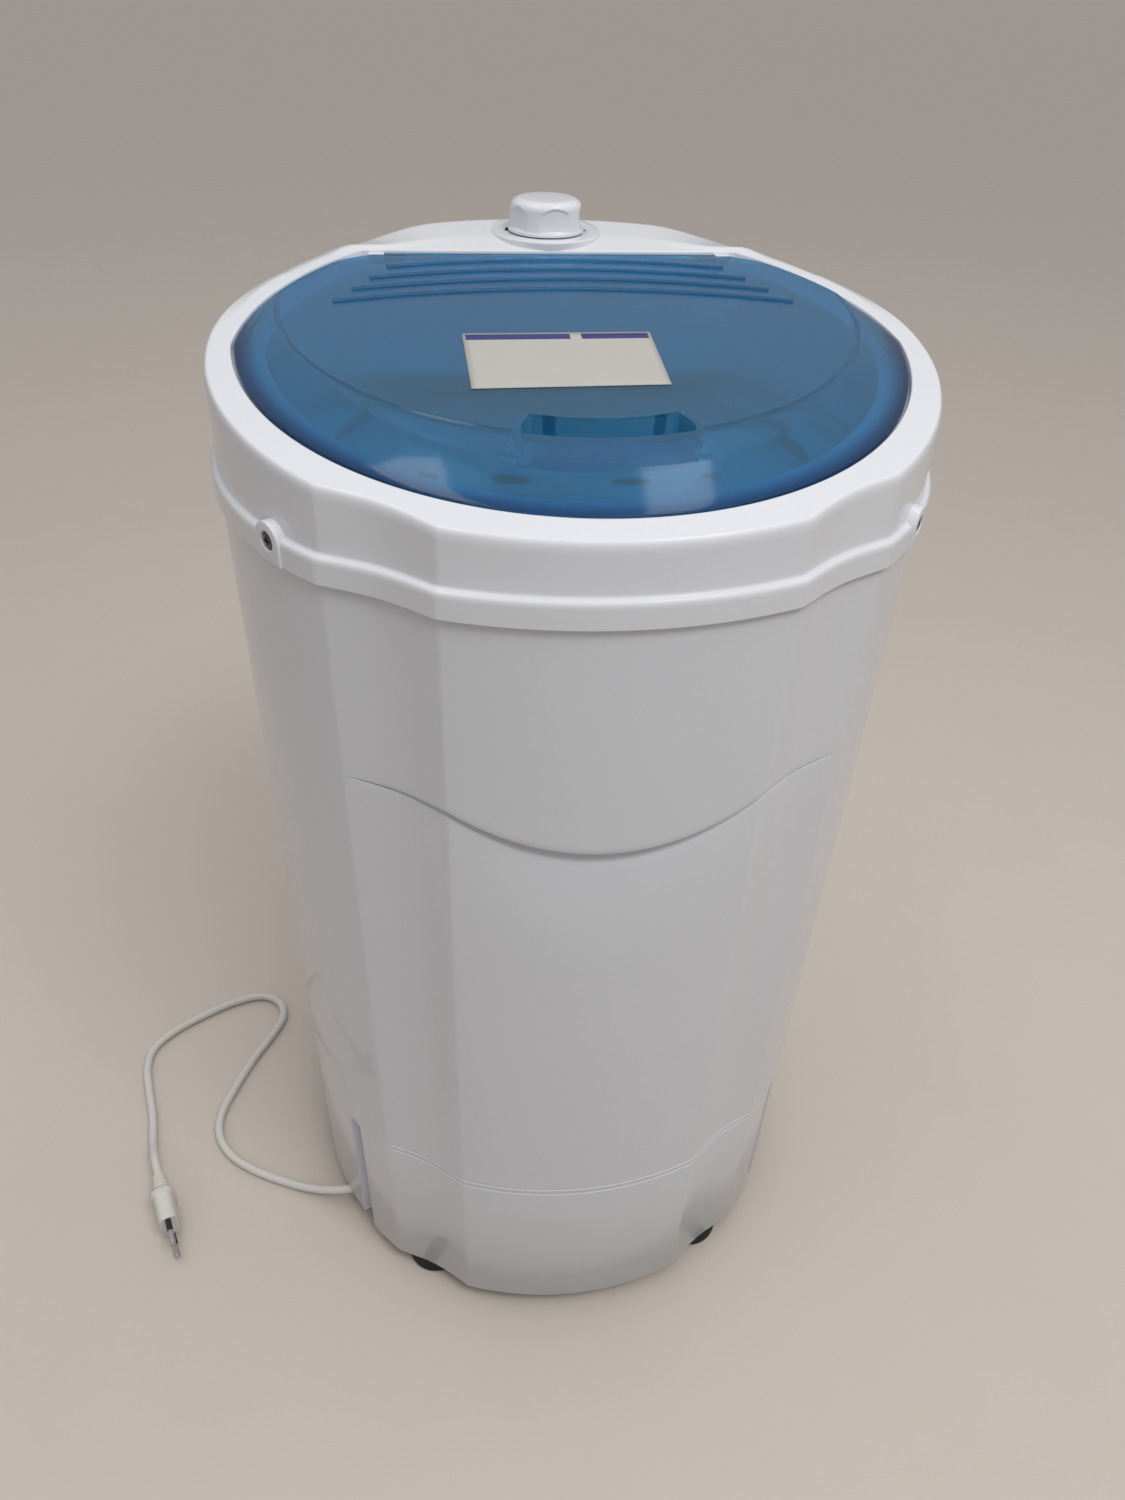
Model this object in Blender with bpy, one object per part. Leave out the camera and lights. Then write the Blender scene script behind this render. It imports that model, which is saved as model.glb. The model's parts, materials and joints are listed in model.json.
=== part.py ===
"""Portable mini washer: a round spin-type machine with a sloping top, a hinged lid and a timer knob.

Metres, +Z up. The origin is on the floor, on the axis of the basket; the front faces -Y.
Angles round the body are counted from the front, positive towards +X.
"""

import math

import bmesh
import bpy
from mathutils import Matrix, Vector

# Fits
GAP = 0.0003  # clearance where two pieces meet
WALL = 0.0025  # moulded wall

# Body outline, seen from above
BODY_RADIUS = 0.175
NOSE_ANGLE = math.radians(25)
SCOOP_ANGLE = math.radians(43.5)
NOSE_INSET = 0.004
NOSE_CORNER_INSET = 0.001
SCOOP_DEPTH = 0.005
REAR_FLAT_ANGLE = math.radians(30)

# Casing
LEDGE_HEIGHT = 0.553
CASING_DRAFT = 0.003
CASING_CLEARANCE = 0.014
SIDE_CLEARANCE = 0.020
SMILE_DROP = 0.1285
SMILE_LIFT = 0.0195
SMILE_ANGLE = math.radians(38)
SMILE_STEP = 0.0035
SMILE_REACH = 0.075
SLOT_ANGLE = math.radians(54.5)
SLOT_WIDTH = 0.012
SLOT_DEPTH = 0.005
SLOT_TOP = 0.122

# Top cover
BAND_HEIGHT = 0.012
BAND_WALL = 0.0022
TIER_INSET = 0.0035
TOP_RISE = 0.0468
TOP_SLOPE = math.tan(math.radians(8))
TOP_FILLET = 0.010
LEDGE_THICKNESS = 0.005
DECK_RAISE = 0.0045
DECK_ARC_RADIUS = 0.199
DECK_DEPTH = 0.050
DECK_DROP = 0.0004
DECK_FADE_START = math.radians(130)
DECK_FADE_SPAN = math.radians(13)
THROAT_DROP = 0.003
BOSS_ANGLE = math.radians(53)
BOSS_RADIUS = 0.0085
BOSS_PROUD = 0.001
SCREW_DROP = 0.0025
SCREW_HEAD_RADIUS = 0.0038
SCREW_HEAD_HEIGHT = 0.0024
SCREW_SHANK_RADIUS = 0.0019
SCREW_LENGTH = 0.012
TAB_HALF_WIDTH = 0.006
TAB_DEPTH = 0.008

# Lid
LID_MARGIN = 0.017
LID_CENTRE = 0.0073
LID_REAR_SHIFT = 0.0233
LID_TRUNCATION = 0.064
LID_GAP = 0.0016
CORNER_SLOPE = 0.5
CORNER_TRIM = 0.058
LID_THICKNESS = 0.0024
LID_RIM = 0.0032
LID_CREASE_INSET = 0.018
LID_CREASE_SHIFT = 0.022
LID_BROW_INSET = 0.034
LID_BROW_SHIFT = -0.013
LID_BROW_SLOPE = 0.12
LID_FRONT_RISE = 0.010
LID_REAR_RISE = 0.0015
THROAT_INSET = 0.0135
THROAT_CHORD_INSET = 0.016
HINGE_RADIUS = 0.003
HINGE_SLACK = 0.0013
HINGE_HALF_LENGTH = 0.090
HINGE_EAR = 0.008
HINGE_PIN_RADIUS = 0.0014
HINGE_PIN_LENGTH = 0.020
GRIP_WIDTH = 0.074
GRIP_SETBACK = 0.0367
GRIP_TAPER = 0.0015
GRIP_LENGTH = 0.0285
GRIP_DEPTH = 0.013
RIB_COUNT = 4
RIB_PITCH = 0.0155
RIB_WIDTH = 0.003
RIB_HEIGHT = 0.0014
RIB_FIRST = 0.014
RIB_HALF_LENGTH = 0.084
RIB_GROWTH = 0.010
RIB_BOW = 0.004

# Timer
COLLAR_GAP = 0.0009
COLLAR_RADIUS = 0.030
COLLAR_SINK = 0.0003
KNOB_RADIUS = 0.021
KNOB_HEIGHT = 0.0168
KNOB_LIFT = 0.0006
KNOB_LOBES = 8
KNOB_FLUTE = 0.0011
TIMER_RADIUS = 0.021
TIMER_HEIGHT = 0.030
TIMER_SHAFT_RADIUS = 0.003
TIMER_SHAFT_GRIP = 0.012

# Lid switch
PLUNGER_RADIUS = 0.0025
PLUNGER_LENGTH = 0.012
SWITCH_RADIUS = 0.0068
SWITCH_HEIGHT = 0.018

# Base and feet
BASE_HEIGHT = 0.030
BASE_THICKNESS = 0.004
BASE_RIM = 0.016
FOOT_ANGLE = math.radians(38.5)
FOOT_SETBACK = 0.029
FOOT_RADIUS = 0.020
FOOT_STEM_RADIUS = 0.006
FOOT_NECK = 0.004
BASE_HOLE_RADIUS = 0.020
ANCHOR_HALF_WIDTH = 0.010
ANCHOR_DEPTH = 0.014

# Motor and its springs
MOTOR_CLEARANCE = 0.014
MOTOR_RADIUS = 0.060
MOTOR_HEIGHT = 0.102
MOTOR_WALL = 0.003
MOTOR_END = 0.004
MOTOR_EYE = 0.002
FLANGE_RADIUS = 0.068
FLANGE_THICKNESS = 0.0045
SHAFT_RADIUS = 0.008
BEARING_RADIUS = 0.016
BEARING_HEIGHT = 0.010
ROTOR_RADIUS = 0.0335
CORE_HEIGHT = 0.044
WINDING_OVERHANG = 0.008
AIR_GAP = 0.001
MOUNT_THICKNESS = 0.004
MOUNT_RADIUS = 0.090
MOUNT_LOBE = 0.025
SPRING_CIRCLE = 0.100
SPRING_RADIUS = 0.010
SPRING_WIRE = 0.0013
SPRING_TURNS = 4
POST_HEIGHT = 0.014
CAPACITOR_RADIUS = 0.017
CAPACITOR_HEIGHT = 0.050
CAPACITOR_SETBACK = 0.0515
CAPACITOR_ANGLE = math.radians(58)
CLAMP_FLANGE = 0.008
CLAMP_HEIGHT = 0.016

# Brake
DRUM_RADIUS = 0.030
DRUM_HEIGHT = 0.024
DRUM_LIFT = 0.010
BRAKE_GAP = 0.002
BRAKE_PIVOT = (0.046, 0.036)
BRAKE_PIN_RADIUS = 0.003
BRAKE_PIN_END = 0.008
BRAKE_SPRING_GAP = 0.0009
BRAKE_SPRING_WIRE = 0.0006
BRACKET_REACH = 0.022
DRUM_CHAMFER = 0.001
LEVER_WIDTH = 0.008
LEVER_THICKNESS = 0.004
LEVER_REACH = 0.086
SHOE_HALF_ANGLE = math.radians(20)
SHOE_HEIGHT = 0.018
CABLE_RADIUS = 0.0015
CABLE_CLEARANCE = 0.0084
CABLE_ANGLE = math.radians(135)

# Tub and basket
TUB_CLEARANCE = 0.025
TUB_CORNER = 0.010
TUB_FLOOR = 0.003
TUB_FLANGE = 0.002
TUB_LIFT = 0.016
SEAL_HOLE_RADIUS = 0.0325
BUSH_RADIUS = 0.0135
SEAL_HEIGHT = 0.012
SEAL_FLANGE = 0.012
SEAL_THICKNESS = 0.003
SHEET = 0.002
BASKET_CLEARANCE = 0.019
BASKET_GAP = 0.021
BASKET_CORNER = 0.012
BASKET_RIM = 0.003
HUB_RISE = 0.022
HUB_RADIUS = 0.048
HOLE_ROWS = 2
HOLES_IN_ROW = 8
HOLE_RADIUS = 0.0045
NUT_HEIGHT = 0.008
SHAFT_COLLAR = 0.005
SHAFT_END = 0.003
DISC_GAP = 0.0004
DISC_THICKNESS = 0.003
DISC_DROP = 0.010
DISC_LIP = 0.006
FINGER_HOLE_PLACE = 0.032
FINGER_HOLE_RADIUS = 0.011
VENT_PLACE = 0.075
VENT_RADIUS = 0.006
VENT_COUNT = 4
SPLASH_LIFT = 0.008
SPLASH_DEPTH = 0.0097
SPLASH_FLANGE = 0.008
SPLASH_SLOT_RADIUS = 0.005
MOUTH_GAP = 0.0005
SPLASH_GAP = 0.0014
SPLASH_SLOTS = 6
DRAIN_SETBACK = 0.022
DRAIN_RADIUS = 0.0105
DRAIN_BORE = 0.007
SPOUT_CLEARANCE = 0.0055
SPOUT_PROUD = 0.002
HOSE_BEND = 0.026
PANEL_HALF_WIDTH = 0.030
PANEL_MARGIN = 0.034

# Mains lead
CORD_RADIUS = 0.0031
CORD_HEIGHT = 0.0145
GLAND_SETBACK = 0.075
GLAND_Y = -0.0725
GLAND_LENGTH = 0.033
GLAND_RADIUS = 0.0075
PLUG_PLACE = (-0.2925, -0.0480, 0.0140)
PLUG_HEADING = (0.339, -0.941)
PLUG_SLEEVE = 0.018
PLUG_FLANGE = 0.004
PLUG_BODY = 0.021
PLUG_HALF_WIDTH = 0.007
PLUG_HALF_HEIGHT = 0.0125
PIN_RADIUS = 0.002
PIN_LENGTH = 0.019
PIN_SPACING = 0.019

# Places worked out from the sizes above
LID_RADIUS = BODY_RADIUS - LID_MARGIN
LID_CHORD = LID_RADIUS - LID_TRUNCATION
HINGE_Y = LID_CENTRE + LID_CHORD
CHORD_Y = HINGE_Y - 0.7 * HINGE_RADIUS
KNOB_Y = HINGE_Y + HINGE_RADIUS + HINGE_SLACK + COLLAR_GAP + COLLAR_RADIUS
LID_REAR_CENTRE = LID_CENTRE - LID_REAR_SHIFT
LID_CREASE_RADIUS = LID_RADIUS - LID_CREASE_INSET
LID_BROW_RADIUS = LID_RADIUS - LID_BROW_INSET
DECK_ARC_CENTRE = BODY_RADIUS - DECK_DEPTH - DECK_ARC_RADIUS
GRIP_FRONT = LID_CENTRE - LID_RADIUS + GRIP_SETBACK
FOOT_DISTANCE = BODY_RADIUS - FOOT_SETBACK
TUB_RADIUS = BODY_RADIUS - TUB_CLEARANCE
BASKET_RADIUS = TUB_RADIUS - WALL - BASKET_GAP
SPLASH_RADIUS = BASKET_RADIUS - WALL + MOUTH_GAP
DRAIN_Y = TUB_RADIUS - DRAIN_SETBACK
GLAND_ROOT = (GLAND_SETBACK - BODY_RADIUS, GLAND_Y)

# Heights worked out from the sizes above
BASE_TOP = BASE_HEIGHT + BASE_THICKNESS
SPOUT_HEIGHT = BASE_TOP + BASE_RIM + DRAIN_RADIUS + SPOUT_CLEARANCE
MOTOR_BOTTOM = BASE_TOP + MOTOR_CLEARANCE
MOTOR_TOP = MOTOR_BOTTOM + MOTOR_HEIGHT
MOTOR_SPLIT = MOTOR_BOTTOM + MOTOR_HEIGHT / 2
MOUNT_TOP = MOTOR_SPLIT - FLANGE_THICKNESS - GAP
MOUNT_UNDER = MOUNT_TOP - MOUNT_THICKNESS
DRUM_BOTTOM = MOTOR_TOP + DRUM_LIFT
DRUM_TOP = DRUM_BOTTOM + DRUM_HEIGHT
TUB_UNDER = DRUM_TOP + TUB_LIFT
TUB_TOP = TUB_UNDER + TUB_FLOOR
BASKET_BOTTOM = TUB_TOP + BASKET_CLEARANCE
HUB_UNDER = BASKET_BOTTOM + HUB_RISE
HUB_TOP = HUB_UNDER + WALL
CASING_TOP = LEDGE_HEIGHT - LEDGE_THICKNESS - TUB_FLANGE - 2 * GAP
FLANGE_TOP = CASING_TOP + GAP + TUB_FLANGE
SHOULDER = FLANGE_TOP + GAP
BASKET_TOP = FLANGE_TOP - SPLASH_DEPTH - SPLASH_LIFT
COLLAR_TOP = LEDGE_HEIGHT + TOP_RISE + TOP_SLOPE * KNOB_Y - COLLAR_SINK
COLLAR_DEPTH = TOP_SLOPE * TIMER_RADIUS + 2 * HINGE_RADIUS + WALL + 4 * GAP
DECK_LEVEL = COLLAR_TOP - DECK_DROP

FINISHES = {
    "white": ((0.86, 0.87, 0.89), 0.22, 0.0, 1.0),
    "blue": ((0.06, 0.26, 0.48), 0.12, 0.0, 0.6),
    "rubber": ((0.02, 0.02, 0.02), 0.8, 0.0, 1.0),
    "steel": ((0.62, 0.62, 0.63), 0.3, 1.0, 1.0),
    "dark_steel": ((0.16, 0.16, 0.17), 0.4, 1.0, 1.0),
    "grey_plastic": ((0.55, 0.56, 0.58), 0.45, 0.0, 1.0),
    "copper": ((0.62, 0.32, 0.16), 0.35, 1.0, 1.0),
    "bronze": ((0.55, 0.40, 0.20), 0.4, 1.0, 1.0),
    "black_plastic": ((0.03, 0.03, 0.035), 0.5, 0.0, 1.0),
    "cord_white": ((0.80, 0.79, 0.77), 0.45, 0.0, 1.0),
}


def clear_scene():
    for obj in list(bpy.data.objects):
        bpy.data.objects.remove(obj, do_unlink=True)


def finish(name):
    material = bpy.data.materials.get(name)
    if material is None:
        colour, roughness, metallic, alpha = FINISHES[name]
        material = bpy.data.materials.new(name)
        material.use_nodes = True
        shader = material.node_tree.nodes["Principled BSDF"]
        shader.inputs["Base Color"].default_value = (*colour, 1.0)
        shader.inputs["Roughness"].default_value = roughness
        shader.inputs["Metallic"].default_value = metallic
        shader.inputs["Alpha"].default_value = alpha
    return material


def place_mesh(name, bm, look):
    """Closes a bmesh into a named object with outward faces and smooth shading."""
    bmesh.ops.remove_doubles(bm, verts=bm.verts, dist=1e-7)
    bmesh.ops.recalc_face_normals(bm, faces=bm.faces)
    mesh = bpy.data.meshes.new(name)
    bm.to_mesh(mesh)
    bm.free()
    mesh.shade_smooth()
    mesh.set_sharp_from_angle(angle=math.radians(35))
    obj = bpy.data.objects.new(name, mesh)
    bpy.context.collection.objects.link(obj)
    if look:
        mesh.materials.append(finish(look))
    return obj


def turned(name, profile, sides, look, centre=(0.0, 0.0)):
    """Spins a closed outline of (radius, height) points about a vertical axis."""
    bm = bmesh.new()
    points = [bm.verts.new((radius, 0.0, height)) for radius, height in profile]
    edges = []
    for here, there in zip(points, points[1:] + points[:1]):
        if here.co.x > 0 or there.co.x > 0:
            edges.append(bm.edges.new((here, there)))
    bmesh.ops.spin(
        bm,
        geom=points + edges,
        cent=(0, 0, 0),
        axis=(0, 0, 1),
        angle=math.tau,
        steps=sides,
        use_merge=True,
    )
    bmesh.ops.translate(bm, verts=bm.verts, vec=(*centre, 0.0))
    return place_mesh(name, bm, look)


def add_loops(bm, loops, round_trip):
    """Joins loops of equal length with faces, back to the first loop if round_trip is set."""
    rows = [[bm.verts.new(point) for point in loop] for loop in loops]
    pairs = list(zip(rows, rows[1:] + rows[:1])) if round_trip else list(zip(rows, rows[1:]))
    count = len(rows[0])
    for one, two in pairs:
        for i in range(count):
            j = (i + 1) % count
            bm.faces.new((one[i], one[j], two[j], two[i]))
    return rows


def lofted_ring(name, loops, look):
    """A ring whose cross-section changes on its way round."""
    bm = bmesh.new()
    add_loops(bm, loops, True)
    return place_mesh(name, bm, look)


def stacked(name, loops, look):
    """A solid built of loops one over the other, closed at both ends."""
    bm = bmesh.new()
    rows = add_loops(bm, loops, False)
    bm.faces.new(rows[0])
    bm.faces.new(rows[-1])
    return place_mesh(name, bm, look)


def prism(name, outline, low, high, look):
    """An outline of (x, y) points raised from one height to another."""
    loops = [[(x, y, height) for x, y in outline] for height in (low, high)]
    return stacked(name, loops, look)


def box(name, corner, opposite, look):
    (x0, y0, z0), (x1, y1, z1) = corner, opposite
    return prism(name, [(x0, y0), (x1, y0), (x1, y1), (x0, y1)], z0, z1, look)


def circle(radius, sides, centre=(0.0, 0.0)):
    steps = [math.tau * (i + 0.5) / sides for i in range(sides)]
    return [(centre[0] + radius * math.cos(a), centre[1] + radius * math.sin(a)) for a in steps]


def rod(name, start, end, radius, sides, look):
    """A straight round bar between two points."""
    start, end = Vector(start), Vector(end)
    turn = (end - start).to_track_quat("Z", "Y").to_matrix()
    ring = [Vector((x, y, 0.0)) for x, y in circle(radius, sides)]
    loops = [[foot + turn @ spoke for spoke in ring] for foot in (start, end)]
    return stacked(name, loops, look)


def joined(name, pieces):
    """One hidden helper mesh made of several separate solids."""
    bm = bmesh.new()
    for piece in pieces:
        bm.from_mesh(piece.data)
        bpy.data.objects.remove(piece, do_unlink=True)
    helper = place_mesh(name, bm, None)
    helper.hide_render = True
    helper.display_type = "WIRE"
    return helper


def shape_with(obj, operation, pieces):
    """Cuts pieces out of an object, or adds them to it."""
    helper = joined(f"{obj.name}_{operation.lower()}", pieces)
    modifier = obj.modifiers.new(operation.title(), "BOOLEAN")
    modifier.operation = operation
    modifier.solver = "EXACT"
    modifier.object = helper


def smooth_route(points, spacing):
    """Evenly spaced points on a smooth curve through the given ones."""
    route = [Vector(point) for point in points]
    ends = [2 * route[0] - route[1]] + route + [2 * route[-1] - route[-2]]
    fine = []
    for a, b, c, d in zip(ends, ends[1:], ends[2:], ends[3:]):
        for step in range(20):
            t = step / 20
            fine.append(
                0.5 * (2 * b + (c - a) * t + (2 * a - 5 * b + 4 * c - d) * t**2 + (3 * b - a - 3 * c + d) * t**3)
            )
    fine.append(route[-1])
    lengths = [0.0]
    for here, there in zip(fine, fine[1:]):
        lengths.append(lengths[-1] + (there - here).length)
    count = max(2, round(lengths[-1] / spacing))
    even = []
    for i in range(count + 1):
        target = lengths[-1] * i / count
        k = max(j for j, length in enumerate(lengths[:-1]) if length <= target + 1e-9)
        share = (target - lengths[k]) / (lengths[k + 1] - lengths[k])
        even.append(fine[k].lerp(fine[k + 1], share))
    return even


def wire(name, points, radius, resolution, look):
    """A round tube along a list of points."""
    data = bpy.data.curves.new(name, "CURVE")
    data.dimensions = "3D"
    data.bevel_depth = radius
    data.bevel_resolution = resolution
    data.use_fill_caps = True
    spline = data.splines.new("POLY")
    spline.points.add(len(points) - 1)
    for slot, point in zip(spline.points, points):
        slot.co = (*point, 1.0)
    obj = bpy.data.objects.new(name, data)
    bpy.context.collection.objects.link(obj)
    data.materials.append(finish(look))
    return obj


def coil(name, centre, low, high, radius, wire_radius, turns, look):
    """A helical spring between two heights. Prints its least gap between turns."""
    per_turn = 8
    steps = turns * per_turn
    rise = (high - low - 2 * wire_radius) / steps
    points = []
    for i in range(steps + 1):
        angle = math.tau * i / per_turn
        points.append(
            (
                centre[0] + radius * math.cos(angle),
                centre[1] + radius * math.sin(angle),
                low + wire_radius + rise * i,
            )
        )
    pitch = rise * per_turn
    print(f"{name}: least gap between turns {1000 * (pitch - 2 * wire_radius):.2f} mm")
    return wire(name, points, wire_radius, 1, look)


def hollow_tube(name, points, outer, inner, sides, look):
    """A bent pipe with an open bore."""
    loops = []
    path = [Vector(point) for point in points]
    for i, here in enumerate(path):
        along = (path[min(i + 1, len(path) - 1)] - path[max(i - 1, 0)]).normalized()
        turn = along.to_track_quat("Z", "X").to_matrix()
        loops.append([[here + turn @ Vector((x, y, 0)) for x, y in circle(r, sides)] for r in (outer, inner)])
    bm = bmesh.new()
    outside = add_loops(bm, [loop[0] for loop in loops], False)
    inside = add_loops(bm, [loop[1] for loop in loops], False)
    for end in (0, -1):
        for i in range(sides):
            j = (i + 1) % sides
            bm.faces.new((outside[end][i], outside[end][j], inside[end][j], inside[end][i]))
    return place_mesh(name, bm, look)


def plan_inset(angle):
    """How far the body's outline lies inside its full radius."""
    turn = abs(angle)
    if turn < NOSE_ANGLE:
        return NOSE_INSET - (NOSE_INSET - NOSE_CORNER_INSET) * (turn / NOSE_ANGLE) ** 2
    if turn < SCOOP_ANGLE:
        share = (turn - NOSE_ANGLE) / (SCOOP_ANGLE - NOSE_ANGLE)
        return NOSE_CORNER_INSET * (1 - share) + SCOOP_DEPTH * math.sin(math.pi * share)
    if turn > math.pi - REAR_FLAT_ANGLE:
        share = (turn - math.pi + REAR_FLAT_ANGLE) / REAR_FLAT_ANGLE
        return NOSE_INSET * share * share * (3 - 2 * share)
    return 0.0


def plan_radius(angle):
    """Distance from the axis to the body's many-sided outline."""
    corners = outline_angles() + [math.pi]
    turn = min(abs(angle), math.pi)
    k = max(i for i, corner in enumerate(corners[:-1]) if corner <= turn + 1e-9)
    one, two = corners[k], corners[k + 1]
    near, far = BODY_RADIUS - plan_inset(one), BODY_RADIUS - plan_inset(two)
    return near * far * math.sin(two - one) / (near * math.sin(turn - one) + far * math.sin(two - turn))


def at(angle, radius, height):
    return (radius * math.sin(angle), -radius * math.cos(angle), height)


def spread(start, end, count):
    return [start + (end - start) * i / count for i in range(count)]


def both_sides(half):
    """Angles from -180 to 180 degrees from a list of positive ones that starts at 0."""
    inner = sorted({round(angle, 6) for angle in half if 0 < angle < math.pi - 1e-6})
    return [-angle for angle in reversed(inner)] + [0.0] + inner + [math.pi]


def outline_angles():
    half = spread(0, NOSE_ANGLE, 3) + spread(NOSE_ANGLE, SCOOP_ANGLE, 3)
    half += spread(SCOOP_ANGLE, math.pi / 2, 4)
    half += spread(math.pi / 2, math.pi - REAR_FLAT_ANGLE, 5)
    half += spread(math.pi - REAR_FLAT_ANGLE, math.pi, 3)
    return half


def slot_edges():
    """The angles of the slots' walls on the right side, front then rear."""
    half_width = SLOT_WIDTH / 2 / BODY_RADIUS
    lean = 0.15 * half_width
    front = [SLOT_ANGLE - half_width, SLOT_ANGLE - half_width + lean]
    front += [SLOT_ANGLE + half_width - lean, SLOT_ANGLE + half_width]
    return front + [math.pi - angle for angle in reversed(front)]


def in_slot(angle):
    edges = slot_edges()
    turn = abs(angle)
    return edges[1] - 1e-5 < turn < edges[2] + 1e-5 or edges[5] - 1e-5 < turn < edges[6] + 1e-5


def smile_height(angle):
    share = min(1.0, abs(angle) / SMILE_ANGLE)
    return LEDGE_HEIGHT - SMILE_DROP + SMILE_LIFT * (1 - math.cos(math.pi * share)) / 2


def smile_depth(angle):
    """How far the front panel steps back under its curved upper edge."""
    share = min(1.0, abs(angle) / (1.02 * SCOOP_ANGLE))
    return SMILE_STEP * math.cos(math.pi / 2 * share) ** 2


def casing_outer(angle, height):
    """Outside radius of the casing without the step."""
    draft = CASING_DRAFT * (CASING_TOP - height) / CASING_TOP
    return plan_radius(angle) - BAND_WALL - GAP - draft


def casing_column(angle):
    edges = slot_edges()
    turn = abs(angle)
    on_side = edges[2] - 1e-5 < turn < edges[5] + 1e-5
    low = SIDE_CLEARANCE if on_side else CASING_CLEARANCE
    line = smile_height(angle)
    step = smile_depth(angle)
    cut = SLOT_DEPTH if in_slot(angle) else 0.0
    outside = [
        (casing_outer(angle, low) - cut, low),
        (casing_outer(angle, SLOT_TOP) - cut, SLOT_TOP),
        (casing_outer(angle, SLOT_TOP), SLOT_TOP + 0.002 + 2 * cut),
    ]
    for share in (1.0, 0.55, 0.25):
        height = line - SMILE_REACH * share
        outside.append((casing_outer(angle, height) - step * (1 - share) ** 2, height))
    outside.append((casing_outer(angle, line) - step, line - 0.0015))
    outside.append((casing_outer(angle, line), line + 0.001))
    outside.append((casing_outer(angle, CASING_TOP), CASING_TOP))
    inset = WALL + step + cut
    inside = [
        (casing_outer(angle, CASING_TOP) - WALL, CASING_TOP),
        (casing_outer(angle, CASING_TOP) - WALL, line + SMILE_REACH / 2),
        (casing_outer(angle, line) - WALL - step, line),
        (casing_outer(angle, SLOT_TOP) - inset, SLOT_TOP + 0.01),
        (casing_outer(angle, low) - inset, low),
    ]
    return [at(angle, radius, height) for radius, height in outside + inside]


def make_casing():
    half = outline_angles() + slot_edges()
    casing = lofted_ring("casing", [casing_column(angle) for angle in both_sides(half)], "white")
    roots, lugs = [], []
    for angle in screw_angles().values():
        in_wall = casing_outer(angle, CASING_TOP) - WALL / 2
        roots.append(tab_block(angle, in_wall, CASING_TOP - 3 * TAB_HALF_WIDTH, CASING_TOP - WALL, 0.0))
        clear = plan_radius(angle) - TIER_INSET - 1.5 * WALL
        lugs.append(tab_block(angle, clear, CASING_TOP - 2 * WALL, screw_height() + TAB_HALF_WIDTH, -GAP))
    shape_with(casing, "UNION", roots)
    shape_with(casing, "UNION", lugs)
    shape_with(casing, "DIFFERENCE", screw_bores() + [panel_notch()])


def tab_block(angle, reach, low, high, margin):
    """A lug inside the casing's top edge that a cover screw bites into."""
    root = plan_radius(angle) - TIER_INSET - 1.5 * WALL - TAB_DEPTH - margin
    half = TAB_HALF_WIDTH + margin
    corners = []
    for radius, across in ((root, -half), (reach, -half), (reach, half), (root, half)):
        x, y, _ = at(angle, radius, 0.0)
        corners.append((x + across * math.cos(angle), y + across * math.sin(angle)))
    return prism("tab", corners, low, high, None)


def screw_angles():
    return {
        "front_left": -BOSS_ANGLE,
        "front_right": BOSS_ANGLE,
        "rear_left": BOSS_ANGLE - math.pi,
        "rear_right": math.pi - BOSS_ANGLE,
    }


def screw_height():
    return LEDGE_HEIGHT - SCREW_DROP


def screw_seat(angle):
    """Radius of the face under the screw's head."""
    return plan_radius(angle) + BOSS_PROUD - SCREW_HEAD_HEIGHT - GAP


def screw_bores():
    pieces = []
    for angle in screw_angles().values():
        seat = screw_seat(angle)
        start = at(angle, seat - SCREW_LENGTH - 2 * WALL, screw_height())
        end = at(angle, seat + WALL, screw_height())
        pieces.append(rod("bore", start, end, SCREW_SHANK_RADIUS + GAP, 8, None))
    return pieces


def spout_bore():
    start = (0.0, DRAIN_Y, SPOUT_HEIGHT)
    end = (0.0, BODY_RADIUS + WALL, SPOUT_HEIGHT)
    return rod("spout_bore", start, end, DRAIN_RADIUS + GAP, 16, None)


def panel_angles(margin):
    """Angles across the plate round the drain spout, from its right edge over the rear to its left edge."""
    half = math.asin((PANEL_HALF_WIDTH + margin) / BODY_RADIUS)
    right = [math.pi - half] + [angle for angle in outline_angles() if angle > math.pi - half] + [math.pi]
    return right + [-angle for angle in reversed(right[:-1])]


def panel_notch():
    """What the plate round the drain spout takes out of the casing's rear wall."""
    ends = [panel_angles(GAP)[0], panel_angles(GAP)[-1]]
    corners = [at(ends[0], DRAIN_Y, 0.0), at(ends[0], BODY_RADIUS + 3 * WALL, 0.0)]
    corners += [at(ends[1], BODY_RADIUS + 3 * WALL, 0.0), at(ends[1], DRAIN_Y, 0.0)]
    top = SPOUT_HEIGHT + PANEL_MARGIN + GAP
    return prism("panel_notch", [corner[:2] for corner in corners], CASING_CLEARANCE - WALL, top, None)


def make_drain_panel():
    loops = []
    for height in (CASING_CLEARANCE, SPOUT_HEIGHT + PANEL_MARGIN):
        outer = [at(angle, casing_outer(angle, height), height) for angle in panel_angles(0.0)]
        inner = [at(angle, casing_outer(angle, height) - WALL, height) for angle in panel_angles(0.0)]
        loops.append(outer + inner[::-1])
    panel = stacked("drain_panel", loops, "white")
    shape_with(panel, "DIFFERENCE", [spout_bore()])


def make_cover_screws():
    for place, angle in screw_angles().items():
        seat = screw_seat(angle) + GAP
        profile = [
            (0.0, seat - SCREW_LENGTH),
            (SCREW_SHANK_RADIUS, seat - SCREW_LENGTH + SCREW_SHANK_RADIUS),
            (SCREW_SHANK_RADIUS, seat),
            (SCREW_HEAD_RADIUS, seat),
            (0.85 * SCREW_HEAD_RADIUS, seat + 0.8 * SCREW_HEAD_HEIGHT),
            (0.0, seat + SCREW_HEAD_HEIGHT),
        ]
        along_radius(turned(f"cover_screw_{place}", profile, 12, "dark_steel"), angle)


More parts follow.
